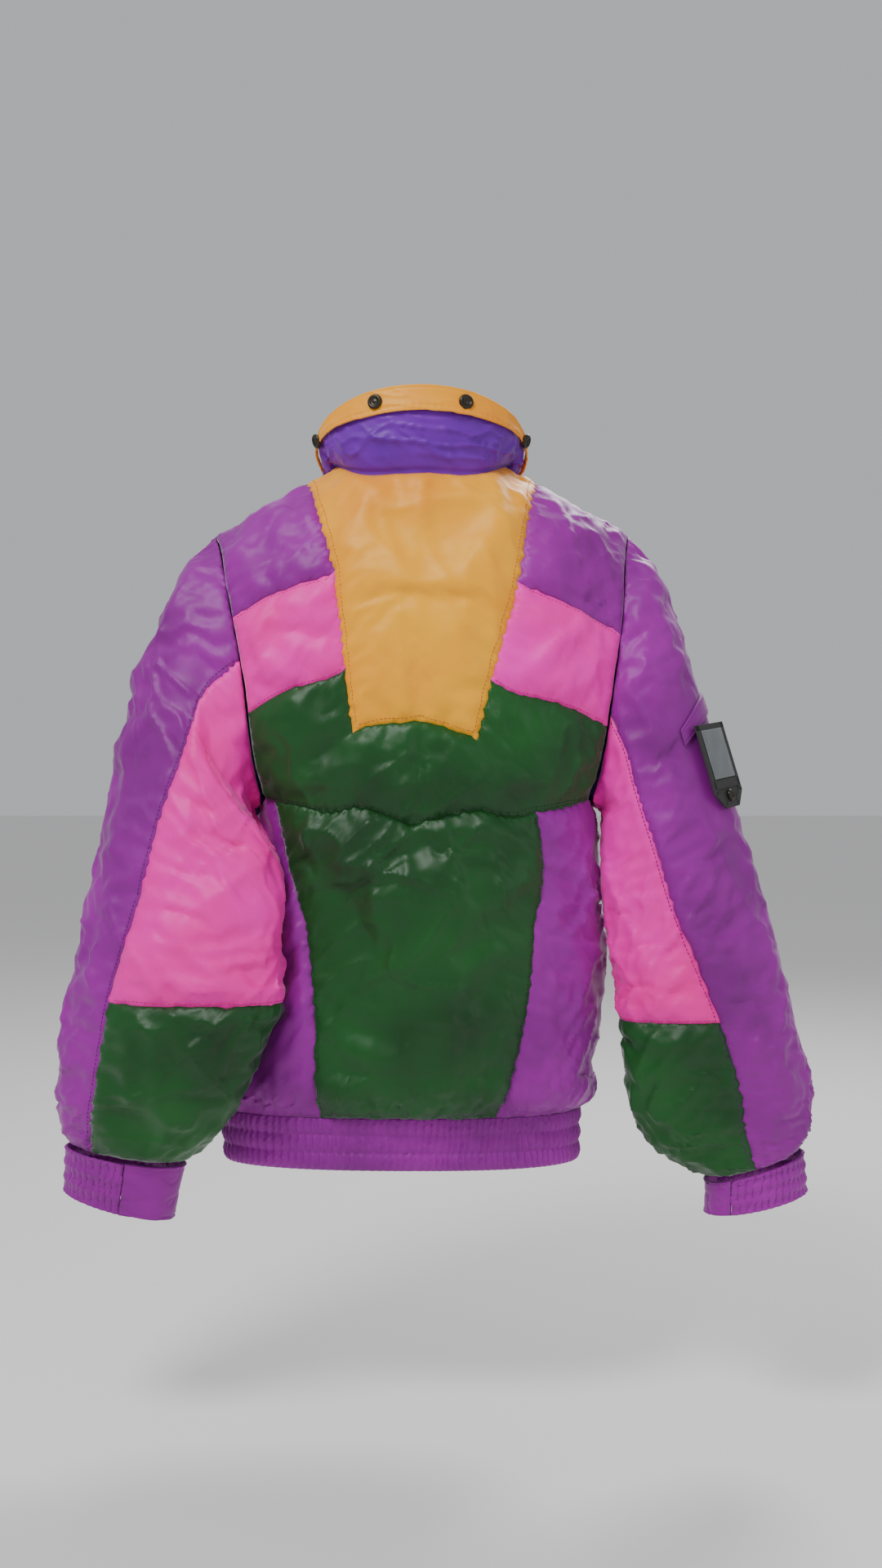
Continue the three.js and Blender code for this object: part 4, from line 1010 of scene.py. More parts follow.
def body_creases(points):
    """How far the creases of the body stand out, in millimetres."""
    x, z = points[:, 0], points[:, 2]
    lower = level(-z, 235, 330)
    hem = np.clip((z - HEM_TOP) / 80, 0, 1)
    shift = 2.4 * creases(points, (0.1, 0, 1), 300, 46, 3.1, 2) * (1 - lower)
    shift += 1.4 * creases(points, (1, 0, 0.5), 150, 34, 5.2, 3, 0.5) * (1 - lower)
    shift += 3.6 * creases(points, (1, 0, 0.2), 170, 30, 9.4, 3, 0.5) * lower * level(hem, 0.3, 1)
    shift += 3.6 * creases(points, (1, 0, -0.9), 170, 30, 14.8, 3, 0.5) * lower * level(hem, 0.3, 1)
    shift += 2.4 * creases(points, (0.15, 0, 1), 260, 44, 18.2, 2, 0.2) * lower
    shift += 2.4 * creases(points, (-0.7, 0, 1), 160, 26, 21.5, 3, 0.45) * level(np.abs(x), 70, 140)
    gather = creases(points, (0, 0, 1), 120, 11, 33.3, 1.6)
    shift += 4.2 * gather * (1 - hem) ** 1.3 + 7.5 * np.sin(np.pi * np.minimum(hem * 1.5 + 0.08, 1)) * (1 - hem)
    return shift


def sleeve_creases(points, side):
    x, z = points[:, 0] * side, points[:, 2]
    low = level(-z, 400, 560)
    shift = 3.6 * creases(points, (side * 0.8, 0, 1), 200, 30, 41.7 + side, 3, 0.5)
    shift += 3.4 * creases(points, (side * -1.1, 0, 1), 170, 28, 57.1 + side, 3, 0.55) * (0.5 + 0.5 * low)
    shift += 3.4 * creases(points, (side, 0, 0.15), 120, 26, 63.9 + side, 3, 0.45) * low
    shift += 2.8 * creases(points, (side * 0.35, 0, -1), 300, 50, 69.3 + side, 2, 0.2) * (1 - low)
    gather = creases(points, (side * 0.4, 0, -1), 110, 11, 88.8 + side, 1.6)
    shift += 3.0 * gather * level(-z, 610, 690)
    return shift - 1.0


# ---------------------------------------------------------------- elastic bands
TUNNELS = 3
PLEAT = 7.4


def gathered_band(name, edge_point, length, height, thickness):
    """An elastic band in three stitched tunnels. edge_point(u, v) is its outer surface for arrays of 0 to 1."""
    columns, rows = int(length / 1.05), int(height / 1.25)
    u, v = np.meshgrid(np.linspace(0, 1, columns), np.linspace(0, 1, rows))
    start = edge_point(u.ravel(), v.ravel())
    faces = grid_faces(rows, columns)
    normals = vertex_normals(start, faces)
    walk, tunnel = u.ravel() * length, np.minimum(np.floor(v.ravel() * TUNNELS), TUNNELS - 1)
    rise = np.abs(np.sin(np.pi * TUNNELS * v.ravel())) ** 0.7
    drift = np.array([wave.noise(Vector((w / 26, 7.3 * t, 0.2))) for w, t in zip(walk, tunnel)])
    lean = np.array([wave.noise(Vector((w / 9, 3.1 * t, 4.6))) for w, t in zip(walk, v.ravel() * 5)])
    beat = np.sin(2 * np.pi * walk / PLEAT + 3.4 * drift + 1.5 * lean)
    shape = np.sign(beat) * np.abs(beat) ** 0.8
    shift = rise * (1.5 + 1.25 * shape * (0.75 + 0.6 * lean)) - 0.9 * (1 - rise) + 0.45 * shape * (1 - rise)
    points = start + normals * shift[:, None]
    outer, everything = closed_sheet(points, faces, thickness)
    return smooth(mesh_object(name, outer, everything))


def make_hem():
    open_left, open_right = (math.pi - front(side * FRONT_EDGE, HEM_TOP)[0] * side for side in (1, -1))
    ends = [np.interp(math.pi - opening, _angles, _round) for opening in (open_right, open_left)]

    def edge_point(u, v):
        arc = -ends[0] + (ends[0] + ends[1]) * u
        angle = np.sign(arc) * np.interp(np.abs(arc), _round, _angles)
        return torso(angle, HEM_TOP + (HEM_BOTTOM - HEM_TOP) * v)

    hem = gathered_band("hem_elastic", edge_point, sum(ends), HEM_TOP - HEM_BOTTOM, 3.5)
    hung_sheet(finished(hem, CLOTHS["purple"], "torso", "hem_band"))


def cuff_point(side, degrees, share):
    return ring_point(side, CUFF_TOP, degrees) * (1 - share[..., None]) + ring_point(
        side, CUFF_FOOT, degrees) * share[..., None]


def make_cuff(side):
    name = "left" if side > 0 else "right"
    first, last = TAB_DEGREES[side]

    def band(u, v):
        turn = last - 360 + (360 + first - last) * (u if side > 0 else 1 - u)
        return cuff_point(side, turn, v)

    cuff = gathered_band(f"cuff_elastic_{name}", band, 225, 46, 3)
    finished(cuff, CLOTHS["purple"], f"sleeve_{name}", f"cuff_{name}")
    flat_strip(cuff)
    columns, rows = 60, 30
    u, v = np.meshgrid(np.linspace(0, 1, columns), np.linspace(0, 1, rows))
    turn = first + (last - first) * (u if side > 0 else 1 - u)
    points = cuff_point(side, turn.ravel(), v.ravel())
    faces = grid_faces(rows, columns)
    rim = np.minimum(np.minimum(u, 1 - u) * 95, np.minimum(v, 1 - v) * 46).ravel()
    lift = 1.2 * level(rim, 0, 3) - 0.7 * np.exp(-(((rim - 5) / 1.0) ** 2))
    lift += 1.3 * creases(points, (side, 0, 0.3), 60, 16, 5.5)
    points = points + vertex_normals(points, faces) * lift[:, None]
    outer, everything = closed_sheet(points, faces, 2.5)
    tab = smooth(mesh_object(f"cuff_tab_cloth_{name}", outer, everything))
    finished(tab, CLOTHS["purple"], f"sleeve_{name}", f"cuff_tab_{name}")
    flat_strip(tab)


# ---------------------------------------------------------------- collar
BAND_FOOT_RISE = 1 - BAND_HEIGHT / 86


def collar_point(angle, rise):
    angle, rise = np.broadcast_arrays(np.asarray(angle, float), np.asarray(rise, float))
    base = surface_at(NECK_RADIUS * np.sin(angle), neck_height(angle) + 2, np.cos(angle) > 0)
    base[..., 1] = np.where(np.abs(np.sin(angle)) > 0.995, MID_Y, base[..., 1])
    top = np.stack([COLLAR_RADIUS * np.sin(angle), MID_Y - 6 + 84 * np.cos(angle), 85 - 45 * (1 - np.cos(angle))],
                   axis=-1)
    puff = 5 * np.sin(np.pi * rise) * (1 + np.cos(angle)) * 0.5
    out = np.stack([np.sin(angle), np.cos(angle), 0 * angle], axis=-1)
    return base + (top - base) * rise[..., None] + out * puff[..., None]


def collar_grid(low, high, rows, columns):
    opening = math.asin((FRONT_EDGE + 0.5) / NECK_RADIUS)
    angle, rise = np.meshgrid(np.linspace(math.pi - opening, -math.pi + opening, columns),
                              np.linspace(high, low, rows))
    points = collar_point(angle.ravel(), rise.ravel())
    faces = grid_faces(rows, columns)
    return points, faces, vertex_normals(points, faces), angle.ravel(), rise.ravel()


def outward(points, normals, inside):
    """1 or -1: which way the normals point away from a place inside."""
    return 1 if np.sum((points - inside) * normals) > 0 else -1


def make_collar():
    points, faces, normals, angle, rise = collar_grid(-0.06, 1, 46, 260)
    inside = np.array([0, MID_Y, 20])
    if outward(points, normals, inside) < 0:
        faces, normals = faces[:, ::-1], -normals
    fold = creases(points, (1, 0, 0.1), 60, 15, 12.2)
    slant = creases(points, (1, 0, 0.8), 50, 14, 18.9)
    swell = np.sin(np.pi * np.clip(rise / 0.75, 0, 1))
    lift = swell * (3.4 * fold + 2.4 * slant + 1.5) - 1.2 * np.exp(-((rise / 0.03) ** 2))
    outer, everything = closed_sheet(points + normals * lift[:, None], faces, 2)
    piece = smooth(mesh_object("collar_cloth", outer, everything))
    finished(piece, CLOTHS["collar"], "torso", "collar_shell")
    flat_strip(piece)

    points, faces, normals, angle, rise = collar_grid(0, 1, 20, 160)
    side = outward(points, normals, inside)
    inner = points - normals * side * 9
    inner += normals * side * (1.6 * creases(points, (1, 0, 0.2), 70, 20, 2.2))[:, None]
    outer, everything = closed_sheet(inner, faces, 1.2 * side)
    piece = smooth(mesh_object("collar_lining_cloth", outer, everything))
    finished(piece, CLOTHS["lining"], "torso", "collar_lining")
    flat_strip(piece)

    points, faces, normals, angle, rise = collar_grid(BAND_FOOT_RISE, 1, 26, 300)
    if outward(points, normals, inside) < 0:
        faces, normals = faces[:, ::-1], -normals
    down = (1 - rise) / (1 - BAND_FOOT_RISE) * BAND_HEIGHT
    drape = 3.2 + 1.6 * level(down, 8, BAND_HEIGHT) * (1 + 0.7 * np.sin(angle * 7 + 1) * np.sin(angle * 3))
    groove = np.exp(-(((down - BAND_HEIGHT + 5) / 0.9) ** 2)) + np.exp(-(((down - 3) / 0.9) ** 2))
    ripple = 0.35 * np.sin(angle * 97) * np.exp(-(((down - BAND_HEIGHT + 5) / 4) ** 2))
    lift = drape - 0.5 * groove + ripple + 0.8 * creases(points, (1, 0, 0.3), 60, 14, 7.7)
    outer, everything = closed_sheet(points + normals * lift[:, None], faces, 1.8)
    piece = smooth(mesh_object("collar_band_cloth", outer, everything))
    finished(piece, CLOTHS["amber"], "torso", "collar_band")
    flat_strip(piece)


# ---------------------------------------------------------------- wadding and lining
LAYERS = {"wadding": (8.5, 3.0), "lining": (13.0, 1.2)}


def make_body_layers():
    lines = body_lines()
    edges = ("neck", "zip", "hem", "armhole", "under", "ridge", "shoulder")
    kept = {name: line for name, line in lines.items() if name.split("_")[0] in edges}
    for side in (1, -1):
        start = SEAMS[side]["armhole"][-1][1] - 8
        places = [(side * math.pi / 2, z) for z in np.linspace(start, HEM_TOP, 40)]
        kept[f"side_{side}"] = body_line(places, step=1000)
    spots = {"back": back(0, -300), "front_left": front(80, -300), "front_right": front(-80, -300)}
    seeds = {name: [to_chart(np.array([a]), np.array([z]))[0]] for name, (a, z) in spots.items()}
    flat, faces, label = cut_cloth(kept, seeds, 11)
    points, faces, label = welded(place_body(flat), faces, label)
    normals = vertex_normals(points, faces)
    borders, _ = line_marks({name: line for name, line in kept.items() if name.split("_")[0] in edges[:5]},
                            place_body, 3)
    border_tree = tree_of(borders)
    near_border = np.array([border_tree.find(point)[2] < 9 for point in points])
    inner = ~near_border[faces].any(1)
    for layer, (depth, thickness) in LAYERS.items():
        quilting = 0.8 * creases(points, (1, 0, 0.4), 90, 30, 77.0)
        sunk = points - normals * (depth + quilting)[:, None]
        for number, name in enumerate(seeds):
            mine = faces[(label == number) & (inner if layer == "wadding" else True)]
            used, compact = np.unique(mine, return_inverse=True)
            outer, everything = closed_sheet(sunk[used], compact.reshape(mine.shape), thickness, normals[used])
            piece = smooth(mesh_object(f"{layer}_{name}_cloth", outer, everything))
            finished(piece, CLOTHS[layer], "torso", f"{layer}_{name}")
            if layer == "wadding":
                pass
            else:
                hung_sheet(piece)


def make_sleeve_lining(side):
    name = "left" if side > 0 else "right"
    columns, rows = 72, 70
    turn, at = np.meshgrid(np.linspace(0, 360, columns, endpoint=False), np.linspace(0.1, SLEEVE_END, rows))
    points = sleeve_point(side, turn.ravel(), at.ravel())
    faces = grid_faces(rows, columns, True)
    normals = vertex_normals(points, faces)
    middle = points.reshape(rows, columns, 3).mean(1)[:, None, :].repeat(columns, 1).reshape(-1, 3)
    if outward(points, normals, middle) < 0:
        faces, normals = faces[:, ::-1], -normals
    sunk = points - normals * (9 + 1.5 * creases(points, (side, 0, 1), 80, 20, 71.0))[:, None]
    outer, everything = closed_sheet(sunk, faces, 1.2)
    piece = smooth(mesh_object(f"sleeve_lining_cloth_{name}", outer, everything))
    finished(piece, CLOTHS["lining"], f"sleeve_{name}", f"sleeve_lining_{name}")
    flat_strip(piece)


# ---------------------------------------------------------------- small parts
def placed_matrix(origin, across, out, up):
    """Takes a part's own frame, +Y out of the cloth and +Z up it, to the cutter's millimetres."""
    turn = Matrix((across, out, up)).transposed().to_4x4()
    return Matrix.Translation(Vector(origin)) @ turn


def part_object(name, bm, matrix):
    bm.transform(matrix)
    bm.transform(Matrix.Translation((0, LOOP_Y, 0)))
    bm.transform(Matrix.Scale(MM, 4))
    bmesh.ops.recalc_face_normals(bm, faces=bm.faces)
    mesh = bpy.data.meshes.new(name)
    bm.to_mesh(mesh)
    bm.free()
    obj = bpy.data.objects.new(name, mesh)
    bpy.context.scene.collection.objects.link(obj)
    return obj


def plate(bm, outline, low, high, bevel=0.0):
    """A plate between two depths, with the outline given as (across, up)."""
    corners = [bm.verts.new((x, low, z)) for x, z in outline]
    face = bm.faces.new(corners)
    made = bmesh.ops.extrude_face_region(bm, geom=[face])["geom"]
    top = [v for v in made if isinstance(v, bmesh.types.BMVert)]
    bmesh.ops.translate(bm, verts=top, vec=(0, high - low, 0))
    if bevel:
        edges = {edge for vert in [*corners, *top] for edge in vert.link_edges}
        bmesh.ops.bevel(bm, geom=list(edges), offset=bevel, segments=2, profile=0.6, affect="EDGES",
                        clamp_overlap=True)


def turned(bm, profile, count=40):
    """A solid of revolution round +Y through (radius, height) points that start and end on the axis."""
    rings = []
    for radius, height in profile:
        if radius == 0:
            rings.append([bm.verts.new((0, height, 0))])
            continue
        ring = [2 * math.pi * k / count for k in range(count)]
        rings.append([bm.verts.new((radius * math.cos(a), height, radius * math.sin(a))) for a in ring])
    for low, high in zip(rings, rings[1:]):
        for k in range(count):
            after = (k + 1) % count
            corners = [low[k % len(low)], low[after % len(low)], high[after % len(high)], high[k % len(high)]]
            bm.faces.new(list(dict.fromkeys(corners)))


def snap_cap(name, radius, height, matrix, body, node):
    bm = bmesh.new()
    r = radius
    profile = [(0, 0), (r * 0.95, 0), (r, height * 0.12), (r, height * 0.38), (r * 0.95, height * 0.66),
               (r * 0.84, height * 0.92), (r * 0.74, height), (r * 0.62, height * 0.97), (r * 0.56, height * 0.8),
               (r * 0.5, height * 0.62), (r * 0.3, height * 0.6), (r * 0.16, height * 0.7), (0, height * 0.72)]
    turned(bm, profile)
    finished(smooth(part_object(name, bm, matrix)), CLOTHS["snap"], body, node)


def collar_frame(angle, rise, proud):
    step = 0.02
    across = collar_point(angle + step, rise) - collar_point(angle - step, rise)
    up = collar_point(angle, rise + step) - collar_point(angle, rise - step)
    out = Vector(np.cross(up, across)).normalized()
    up = Vector(up) - out * Vector(up).dot(out)
    up.normalize()
    origin = Vector(collar_point(angle, rise)) + out * proud
    return placed_matrix(origin, out.cross(up), out, up)


def make_snaps():
    rise = (1 + BAND_FOOT_RISE) / 2
    for side, name in ((1, "left"), (-1, "right")):
        for place, degrees in (("inner", 24), ("outer", 77)):
            matrix = collar_frame(math.radians(side * degrees), rise, 4.0)
            node = f"hood_snap_{place}_{name}"
            snap_cap(f"{node}_cap", 7.5, 3.0, matrix, "torso", node)


PULL_THICKNESS, PULL_STANDOFF = 1.6, 2.4


def arc_points(centre, radius, start, end, count):
    turns = np.linspace(math.radians(start), math.radians(end), count)
    return [(centre[0] + radius * math.cos(a), centre[1] + radius * math.sin(a)) for a in turns]


def make_slider(name, matrix, scale, bodies):
    bm = bmesh.new()
    outline = [(-3, -8), (3, -8), (4.6, -3), (5.5, 0), (5.5, 6.4), (3.9, 8), (1.4, 8), (0, 5.6), (-1.4, 8),
               (-3.9, 8), (-5.5, 6.4), (-5.5, 0), (-4.6, -3)]
    outline = [(x * scale, z * scale) for x, z in outline]
    plate(bm, outline, 0, 1.7 * scale, 0.3 * scale)
    plate(bm, outline, 3.3 * scale, 5 * scale, 0.3 * scale)
    plate(bm, [(x * 0.2, z * 0.85) for x, z in outline], 1.2 * scale, 3.8 * scale)
    finished(part_object(f"{name}_slider_body", bm, matrix), CLOTHS["metal"], bodies[0], f"{name}_slider")
    bm = bmesh.new()
    half, top = 0.8 * scale, 5 * scale + PULL_STANDOFF + 1.5
    side_view = [(5 * scale, -7.0 * scale), (top - 1, -7.0 * scale), (top, -6.0 * scale), (top, 3.0 * scale),
                 (top - 1, 4.0 * scale), (5 * scale, 4.4 * scale), (5 * scale, 3.0 * scale),
                 (top - 1.2, 2.6 * scale), (top - 1.0, -5.6 * scale), (5 * scale, -5.8 * scale)]
    left = [bm.verts.new((-half, y, z)) for y, z in side_view]
    right = [bm.verts.new((half, y, z)) for y, z in side_view]
    bm.faces.new(left)
    bm.faces.new(right[::-1])
    for k in range(len(left)):
        after = (k + 1) % len(left)
        bm.faces.new((left[after], left[k], right[k], right[after]))
    bridge = part_object(f"{name}_slider_bridge", bm, matrix)
    finished(bridge, CLOTHS["metal"], bodies[0], None)
    bm = bmesh.new()
    s = scale
    outline = [(-3 * s, 0.9), (3 * s, 0.9), (3.1 * s, -3 * s), (2.2 * s, -6 * s), (2.4 * s, -10 * s), (4 * s, -20 * s),
               (4 * s, -26 * s), *arc_points((0, -28 * s), 4 * s, 20, -200, 12), (-4 * s, -26 * s), (-4 * s, -20 * s),
               (-2.4 * s, -10 * s), (-2.2 * s, -6 * s), (-3.1 * s, -3 * s)]
    plate(bm, outline, -PULL_THICKNESS / 2, PULL_THICKNESS / 2, 0.25 * s)
    ribs = [-18, -20.5, -23, -25.5]
    for z in ribs:
        rib = [(-2.6 * s, (z - 0.6) * s), (2.6 * s, (z - 0.6) * s), (2.6 * s, (z + 0.6) * s), (-2.6 * s, (z + 0.6) * s)]
        plate(bm, rib, PULL_THICKNESS / 2 - 0.1, PULL_THICKNESS / 2 + 0.35, 0.15)
    hinge = Matrix.Translation((0, 5 * scale + PULL_STANDOFF, -4 * scale))
    pull = part_object(f"{name}_pull_tab", bm, matrix @ hinge)
    finished(pull, CLOTHS["metal"], bodies[1], f"{name}_pull")


def teeth(name, spots, across, out, side, body):
    """A row of moulded teeth at the spots, which point across the zip."""
    bm = bmesh.new()
    outline = [(-3.4, -0.85), (-0.6, -0.85), (0, -0.5), (0.9, -0.75), (0.9, 0.75), (0, 0.5), (-0.6, 0.85), (-3.4, 0.85)]
    for spot, direction in spots:
        tooth = bmesh.new()
        plate(tooth, outline, -0.6, 1.0, 0.12)
        tooth.transform(placed_matrix(spot, across * side, out, direction))
        mesh = bpy.data.meshes.new("tooth")
        tooth.to_mesh(mesh)
        tooth.free()
        bm.from_mesh(mesh)
        bpy.data.meshes.remove(mesh)
    finished(part_object(name, bm, Matrix.Identity(4)), CLOTHS["tape"], body, None)


ZIP_TOP = -8.0


def zip_y(x, z):
    """The front surface beside the zip. Above the neck seam it runs straight up."""
    return float(surface_at(float(x), min(float(z), FRONT_NECK - 2), False)[1])


def make_main_zip():
    for side, name in ((1, "left"), (-1, "right")):
        heights = np.linspace(ZIP_TOP, HEM_BOTTOM + 1, 240)
        xs = side * np.linspace(1, 18, 14)
        points = np.array([(x, zip_y(x, z) + 1.0 + 0.12 * max(abs(x) - 11, 0) ** 1.3, z) for z in heights for x in xs])
        faces = grid_faces(len(heights), len(xs))
        if vertex_normals(points, faces)[0][1] > 0:
            faces = faces[:, ::-1]
        outer, everything = closed_sheet(points, faces, 1.1)
        tape = smooth(mesh_object(f"zip_tape_cloth_{name}", outer, everything))
        finished(tape, CLOTHS["tape"], "torso", f"zip_tape_{name}")
        pitch = 3.6
        start = ZIP_TOP - 3 - (pitch / 2 if side > 0 else 0)
        spots = [(Vector((0, zip_y(0, z) + 1.0, z)), Vector((0, 0, 1))) for z in np.arange(start, HEM_BOTTOM + 4, -pitch)]
        teeth(f"zip_teeth_{name}", spots, Vector((-1, 0, 0)), Vector((0, -1, 0)), side, "torso")
    y = float(surface_at(0.0, -250.0, False)[1]) - 1
    matrix = placed_matrix((0, y, -20), Vector((-1, 0, 0)), Vector((0, -1, 0)), Vector((0, 0, 1)))
    make_slider("zip", matrix, 1, ("zip_slider", "zip_pull"))


POCKET_TOP, POCKET_FOOT = (60.0, -400.0), (86.0, -540.0)


def make_pocket(side):
    name = "left" if side > 0 else "right"
    rows, columns = 90, 24
    points = []
    for t in np.linspace(0, 1, rows):
        for across in np.linspace(-9, 9, columns):
            x = side * (POCKET_TOP[0] + (POCKET_FOOT[0] - POCKET_TOP[0]) * t) + across
            z = POCKET_TOP[1] + (POCKET_FOOT[1] - POCKET_TOP[1]) * t
            lip = 1.6 * math.exp(-(((abs(across) - 5.6) / 1.7) ** 2)) - 0.35 * math.exp(-(((abs(across) - 8) / 0.5) ** 2))
            end = min(t, 1 - t) * 143
            lip = lip + 1.2 * (1 - min(end / 5, 1))
            points.append((x, float(surface_at(x, z, False)[1]) - 1.2 - lip, z))
    points = np.array(points)
    faces = grid_faces(rows, columns)
    if vertex_normals(points, faces)[0][1] > 0:
        faces = faces[:, ::-1]
    outer, everything = closed_sheet(points, faces, 1.4)
    welt = smooth(mesh_object(f"pocket_welt_{name}", outer, everything))
    finished(welt, CLOTHS["tape"], "torso", f"pocket_zip_{name}")
    top = Vector(surface_at(side * POCKET_TOP[0], POCKET_TOP[1], False))
    foot = Vector(surface_at(side * POCKET_FOOT[0], POCKET_FOOT[1], False))
    up = (top - foot).normalized()
    out = Vector((1, 0, 0)).cross(up).normalized()
    out = -out if out.y > 0 else out
    across = out.cross(up).normalized()
    square_up = across.cross(out).normalized()
    count = 62
    for half in (1, -1):
        spots = []
        for k in range(count):
            t = (k + (0.5 if half > 0 else 0) + 1.5) / (count + 3)
            x, z = side * (POCKET_TOP[0] + (POCKET_FOOT[0] - POCKET_TOP[0]) * t), POCKET_TOP[1] + (
                POCKET_FOOT[1] - POCKET_TOP[1]) * t
            spots.append((Vector((x, float(surface_at(x, z, False)[1]) - 1.6, z)), square_up))
        teeth(f"pocket_teeth_{name}_{half}", spots, across, out, half, "torso")
    at = top - up * 12 + out * 7
    matrix = placed_matrix(at, across, out, square_up)
    make_slider(f"pocket_{name}", matrix, 0.7, (f"pocket_slider_{name}", f"pocket_pull_{name}"))


# ---------------------------------------------------------------- hanging loop and blank label
def make_loop():
    path = np.array([(-22, -20, 1), (-13.2, -21, 7), (0, -21.5, 10), (13.2, -21, 7), (22, -20, 1)], float)
    line = resample(path, 0.8)
    rows = []
    for point in line:
        for across in np.linspace(-3.5, 3.5, 9):
            edge = 0.25 * math.exp(-(((abs(across) - 2.8) / 0.4) ** 2))
            rows.append((point[0], point[1] - 0.8 + edge, point[2] + across))
    points = np.array(rows)
    faces = grid_faces(len(line), 9)
    outer, everything = closed_sheet(points, faces, 1.4)
    finished(smooth(mesh_object("hanging_loop_ribbon", outer, everything)), CLOTHS["purple"], "torso",
             "hanging_loop")


def make_label():
    u, v = np.meshgrid(np.linspace(-24, 24, 40), np.linspace(-26, -50, 22))
    y = surface_at(u.ravel(), v.ravel(), True)[:, 1] - 15.4 - 0.3 * np.sin(u.ravel() * 0.3)
    points = np.stack([u.ravel(), y, v.ravel()], axis=-1)
    faces = grid_faces(22, 40)
    outer, everything = closed_sheet(points, faces, 0.4)
    finished(smooth(mesh_object("neck_label", outer, everything)), CLOTHS["wadding"], "torso", None)


# ---------------------------------------------------------------- ski pass holder
PASS_DEGREES, PASS_AT, PASS_WIDTH, PASS_HEIGHT, PASS_THICKNESS = 36, 2.32, 58, 86, 2.4


def pass_matrix():
    at, below = Vector(sleeve_point(-1, PASS_DEGREES, PASS_AT)), Vector(sleeve_point(-1, PASS_DEGREES, PASS_AT + 1))
    before, after = (Vector(sleeve_point(-1, PASS_DEGREES + turn, PASS_AT)) for turn in (-20, 20))
    middle = (Vector(sleeve_point(-1, 0, PASS_AT)) + Vector(sleeve_point(-1, 180, PASS_AT))) / 2
    up = (at - below).normalized()
    out = (after - before).cross(up).normalized()
    out = -out if out.dot(at - middle) < 0 else out
    return placed_matrix(at + out * 4, out.cross(up).normalized(), out, up)


def make_pass_holder():
    matrix = pass_matrix()
    half, height, chamfer = PASS_WIDTH / 2, PASS_HEIGHT, 15
    body = [(-half, 0), (-half, -height + chamfer), (-half + chamfer, -height), (half - chamfer, -height),
            (half, -height + chamfer), (half, 0)]
    bm = bmesh.new()
    plate(bm, body, 0, 1.5, 0.5)
    for start, end in zip(body, [*body[1:], body[0]]):
        a, b = Vector(start), Vector(end)
        along = (b - a).normalized()
        side_way = Vector((along.y, -along.x)) * (1 if (Vector((0, -height / 2)) - a).dot(
            Vector((along.y, -along.x))) > 0 else -1)
        strip = [a, b, b + side_way * 6, a + side_way * 6]
        plate(bm, [(p.x, p.y) for p in strip], 1.0, PASS_THICKNESS, 0.4)
    plate(bm, [(-half + 2, -66), (half - 2, -66), (half - 2, -57), (-half + 2, -57)], 1.0, PASS_THICKNESS, 0.4)
    finished(part_object("pass_holder_body", bm, matrix), CLOTHS["black"], "pass_holder", "pass_holder")
    u, v = np.meshgrid(np.linspace(-half + 7, half - 7, 30), np.linspace(-6, -56, 36))
    rim = np.minimum(half - 7 - np.abs(u), np.minimum(-6 - v, v + 56)) / 8
    lift = PASS_THICKNESS + 0.3 + 0.35 * level(rim, 0, 1) * (1 + np.sin(u * 0.22 + v * 0.16))
    bm = bmesh.new()
    verts = [bm.verts.new((x, y, z)) for x, y, z in zip(u.ravel(), lift.ravel(), v.ravel())]
    lower = [bm.verts.new((x, y - 0.3, z)) for x, y, z in zip(u.ravel(), lift.ravel(), v.ravel())]
    faces = grid_faces(36, 30)
    for face in faces:
        bm.faces.new([verts[i] for i in face])
        bm.faces.new([lower[i] for i in face[::-1]])
    for a, b in border_edges(faces):
        bm.faces.new((verts[b], verts[a], lower[a], lower[b]))
    finished(smooth(part_object("pass_window_film", bm, matrix)), FILM, "pass_holder", "pass_window")
    cap = matrix @ Matrix.Translation((0, PASS_THICKNESS + 0.3, -height + 12))
    snap_cap("pass_snap_cap", 6, 2.6, cap, "pass_holder", "pass_snap")


def make_pass_strip():
    rows, columns = 26, 70
    turn, at = np.meshgrid(np.linspace(PASS_DEGREES - 30, PASS_DEGREES + 32, columns),
                           np.linspace(PASS_AT - 0.24, PASS_AT - 0.04, rows))
    points = sleeve_point(-1, turn.ravel(), at.ravel())
    faces = grid_faces(rows, columns)
    normals = vertex_normals(points, faces)
    middle = (sleeve_point(-1, 0, PASS_AT) + sleeve_point(-1, 180, PASS_AT)) / 2
    if outward(points, normals, middle) < 0:
        faces, normals = faces[:, ::-1], -normals
    v = (at.ravel() - PASS_AT + 0.24) / 0.2
    edge = np.minimum(v, 1 - v) * 21
    lift = 2.2 + 0.9 * level(edge, 0, 2.5) - 0.6 * np.exp(-(((edge - 4) / 0.8) ** 2))
    outer, everything = closed_sheet(points + normals * lift[:, None], faces, 1.6)
    piece = smooth(mesh_object("pass_strip_cloth", outer, everything))
    finished(piece, CLOTHS["purple"], "sleeve_right", "pass_strip")
    flat_strip(piece)


# ---------------------------------------------------------------- floor, light and camera
VIEW_X, VIEW_Z = -20.0, -304.0
VIEW_DISTANCE = 1600.0
PICTURE_HEIGHT = 1612.8  # how much the picture shows at the middle of the body


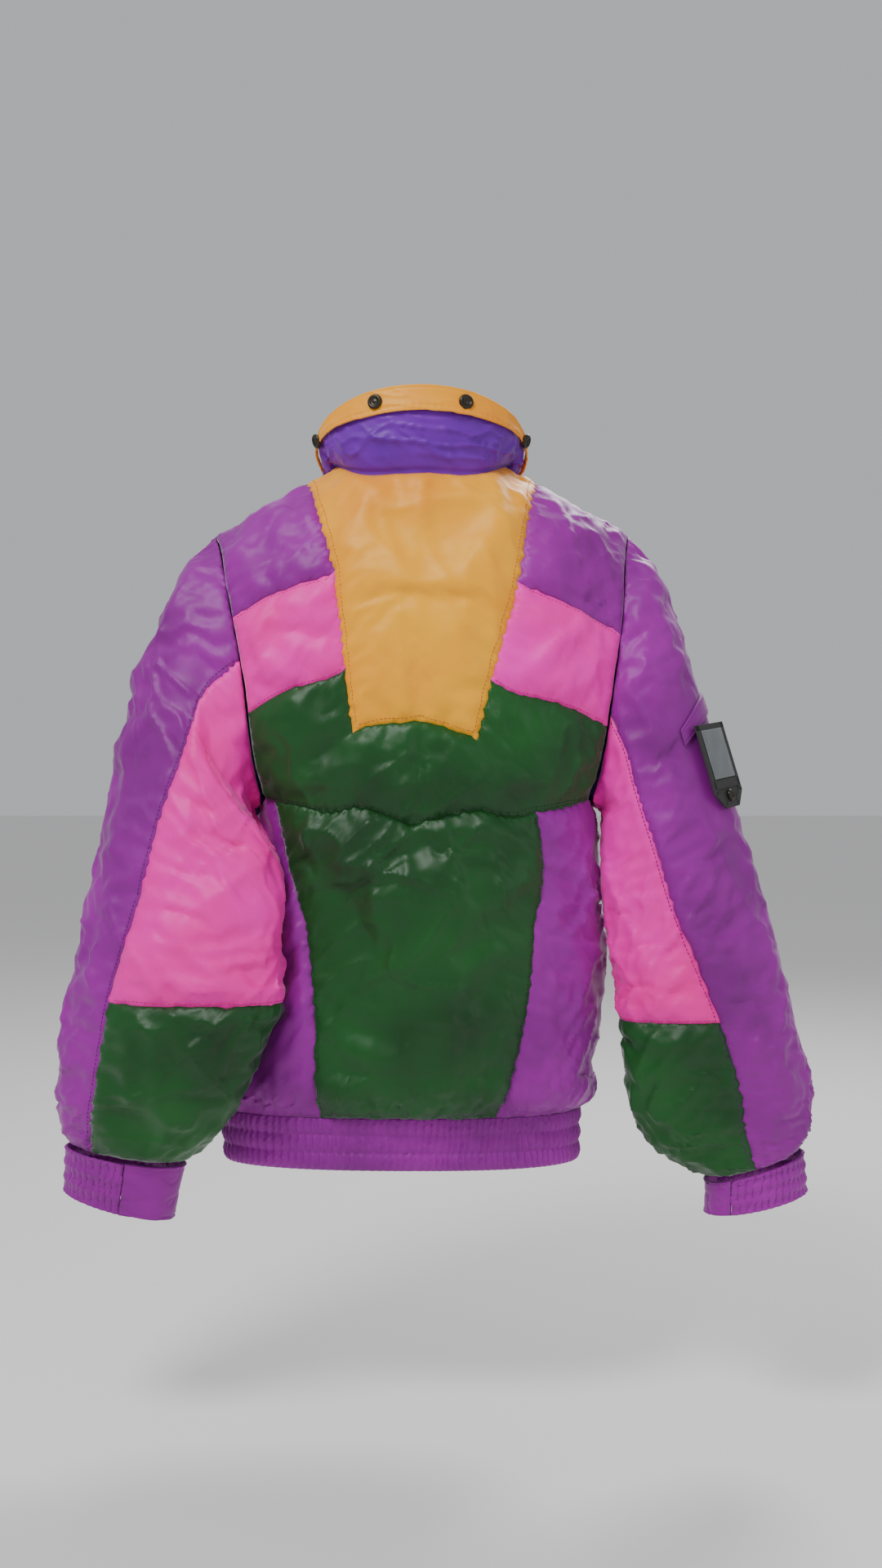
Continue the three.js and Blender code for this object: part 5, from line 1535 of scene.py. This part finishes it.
def add_stage():
    reach, height = 30.0, -0.95
    floor = bpy.data.meshes.new("floor")
    floor.from_pydata([(x, y, height) for x, y in ((-reach, -reach), (reach, -reach), (reach, reach), (-reach, reach))],
                      [], [(0, 1, 2, 3)])
    obj = bpy.data.objects.new("floor", floor)
    bpy.context.scene.collection.objects.link(obj)
    obj.data.materials.append(plain("floor", (236, 234, 232), 0.9))


def add_light(name, place, target, size, power):
    data = bpy.data.lights.new(name, "AREA")
    data.shape, data.size, data.energy = "DISK", size, power
    light = bpy.data.objects.new(name, data)
    light.location = place
    light.rotation_euler = (Vector(target) - Vector(place)).to_track_quat("-Z", "Y").to_euler()
    bpy.context.scene.collection.objects.link(light)


def add_lights_and_camera():
    middle = (0, 0, -0.35)
    add_light("key", (0.9, 1.5, 1.7), middle, 0.9, 50)
    add_light("fill", (-2.0, 1.7, 0.3), middle, 1.6, 8)
    add_light("front_key", (-0.9, -1.7, 1.5), middle, 1.0, 44)
    world = bpy.data.worlds.new("studio")
    world.use_nodes = True
    world.node_tree.nodes["Background"].inputs["Color"].default_value = (0.94, 0.96, 1, 1)
    world.node_tree.nodes["Background"].inputs["Strength"].default_value = 0.52
    bpy.context.scene.world = world
    camera = bpy.data.cameras.new("camera")
    camera.sensor_fit = "VERTICAL"
    camera.lens = camera.sensor_height * VIEW_DISTANCE / PICTURE_HEIGHT
    obj = bpy.data.objects.new("camera", camera)
    obj.location = (VIEW_X * MM, (MID_Y - 5 + LOOP_Y + VIEW_DISTANCE) * MM, VIEW_Z * MM)
    obj.rotation_euler = (math.pi / 2, 0, math.pi)
    bpy.context.scene.collection.objects.link(obj)
    bpy.context.scene.camera = obj


# ---------------------------------------------------------------- assembly
make_body()
make_body_layers()
make_hem()
make_collar()
make_snaps()
make_main_zip()
make_loop()
make_label()
make_pass_strip()
make_pass_holder()
for side in (1, -1):
    make_sleeve(side)
    make_sleeve_lining(side)
    make_cuff(side)
    make_pocket(side)
add_stage()
add_lights_and_camera()
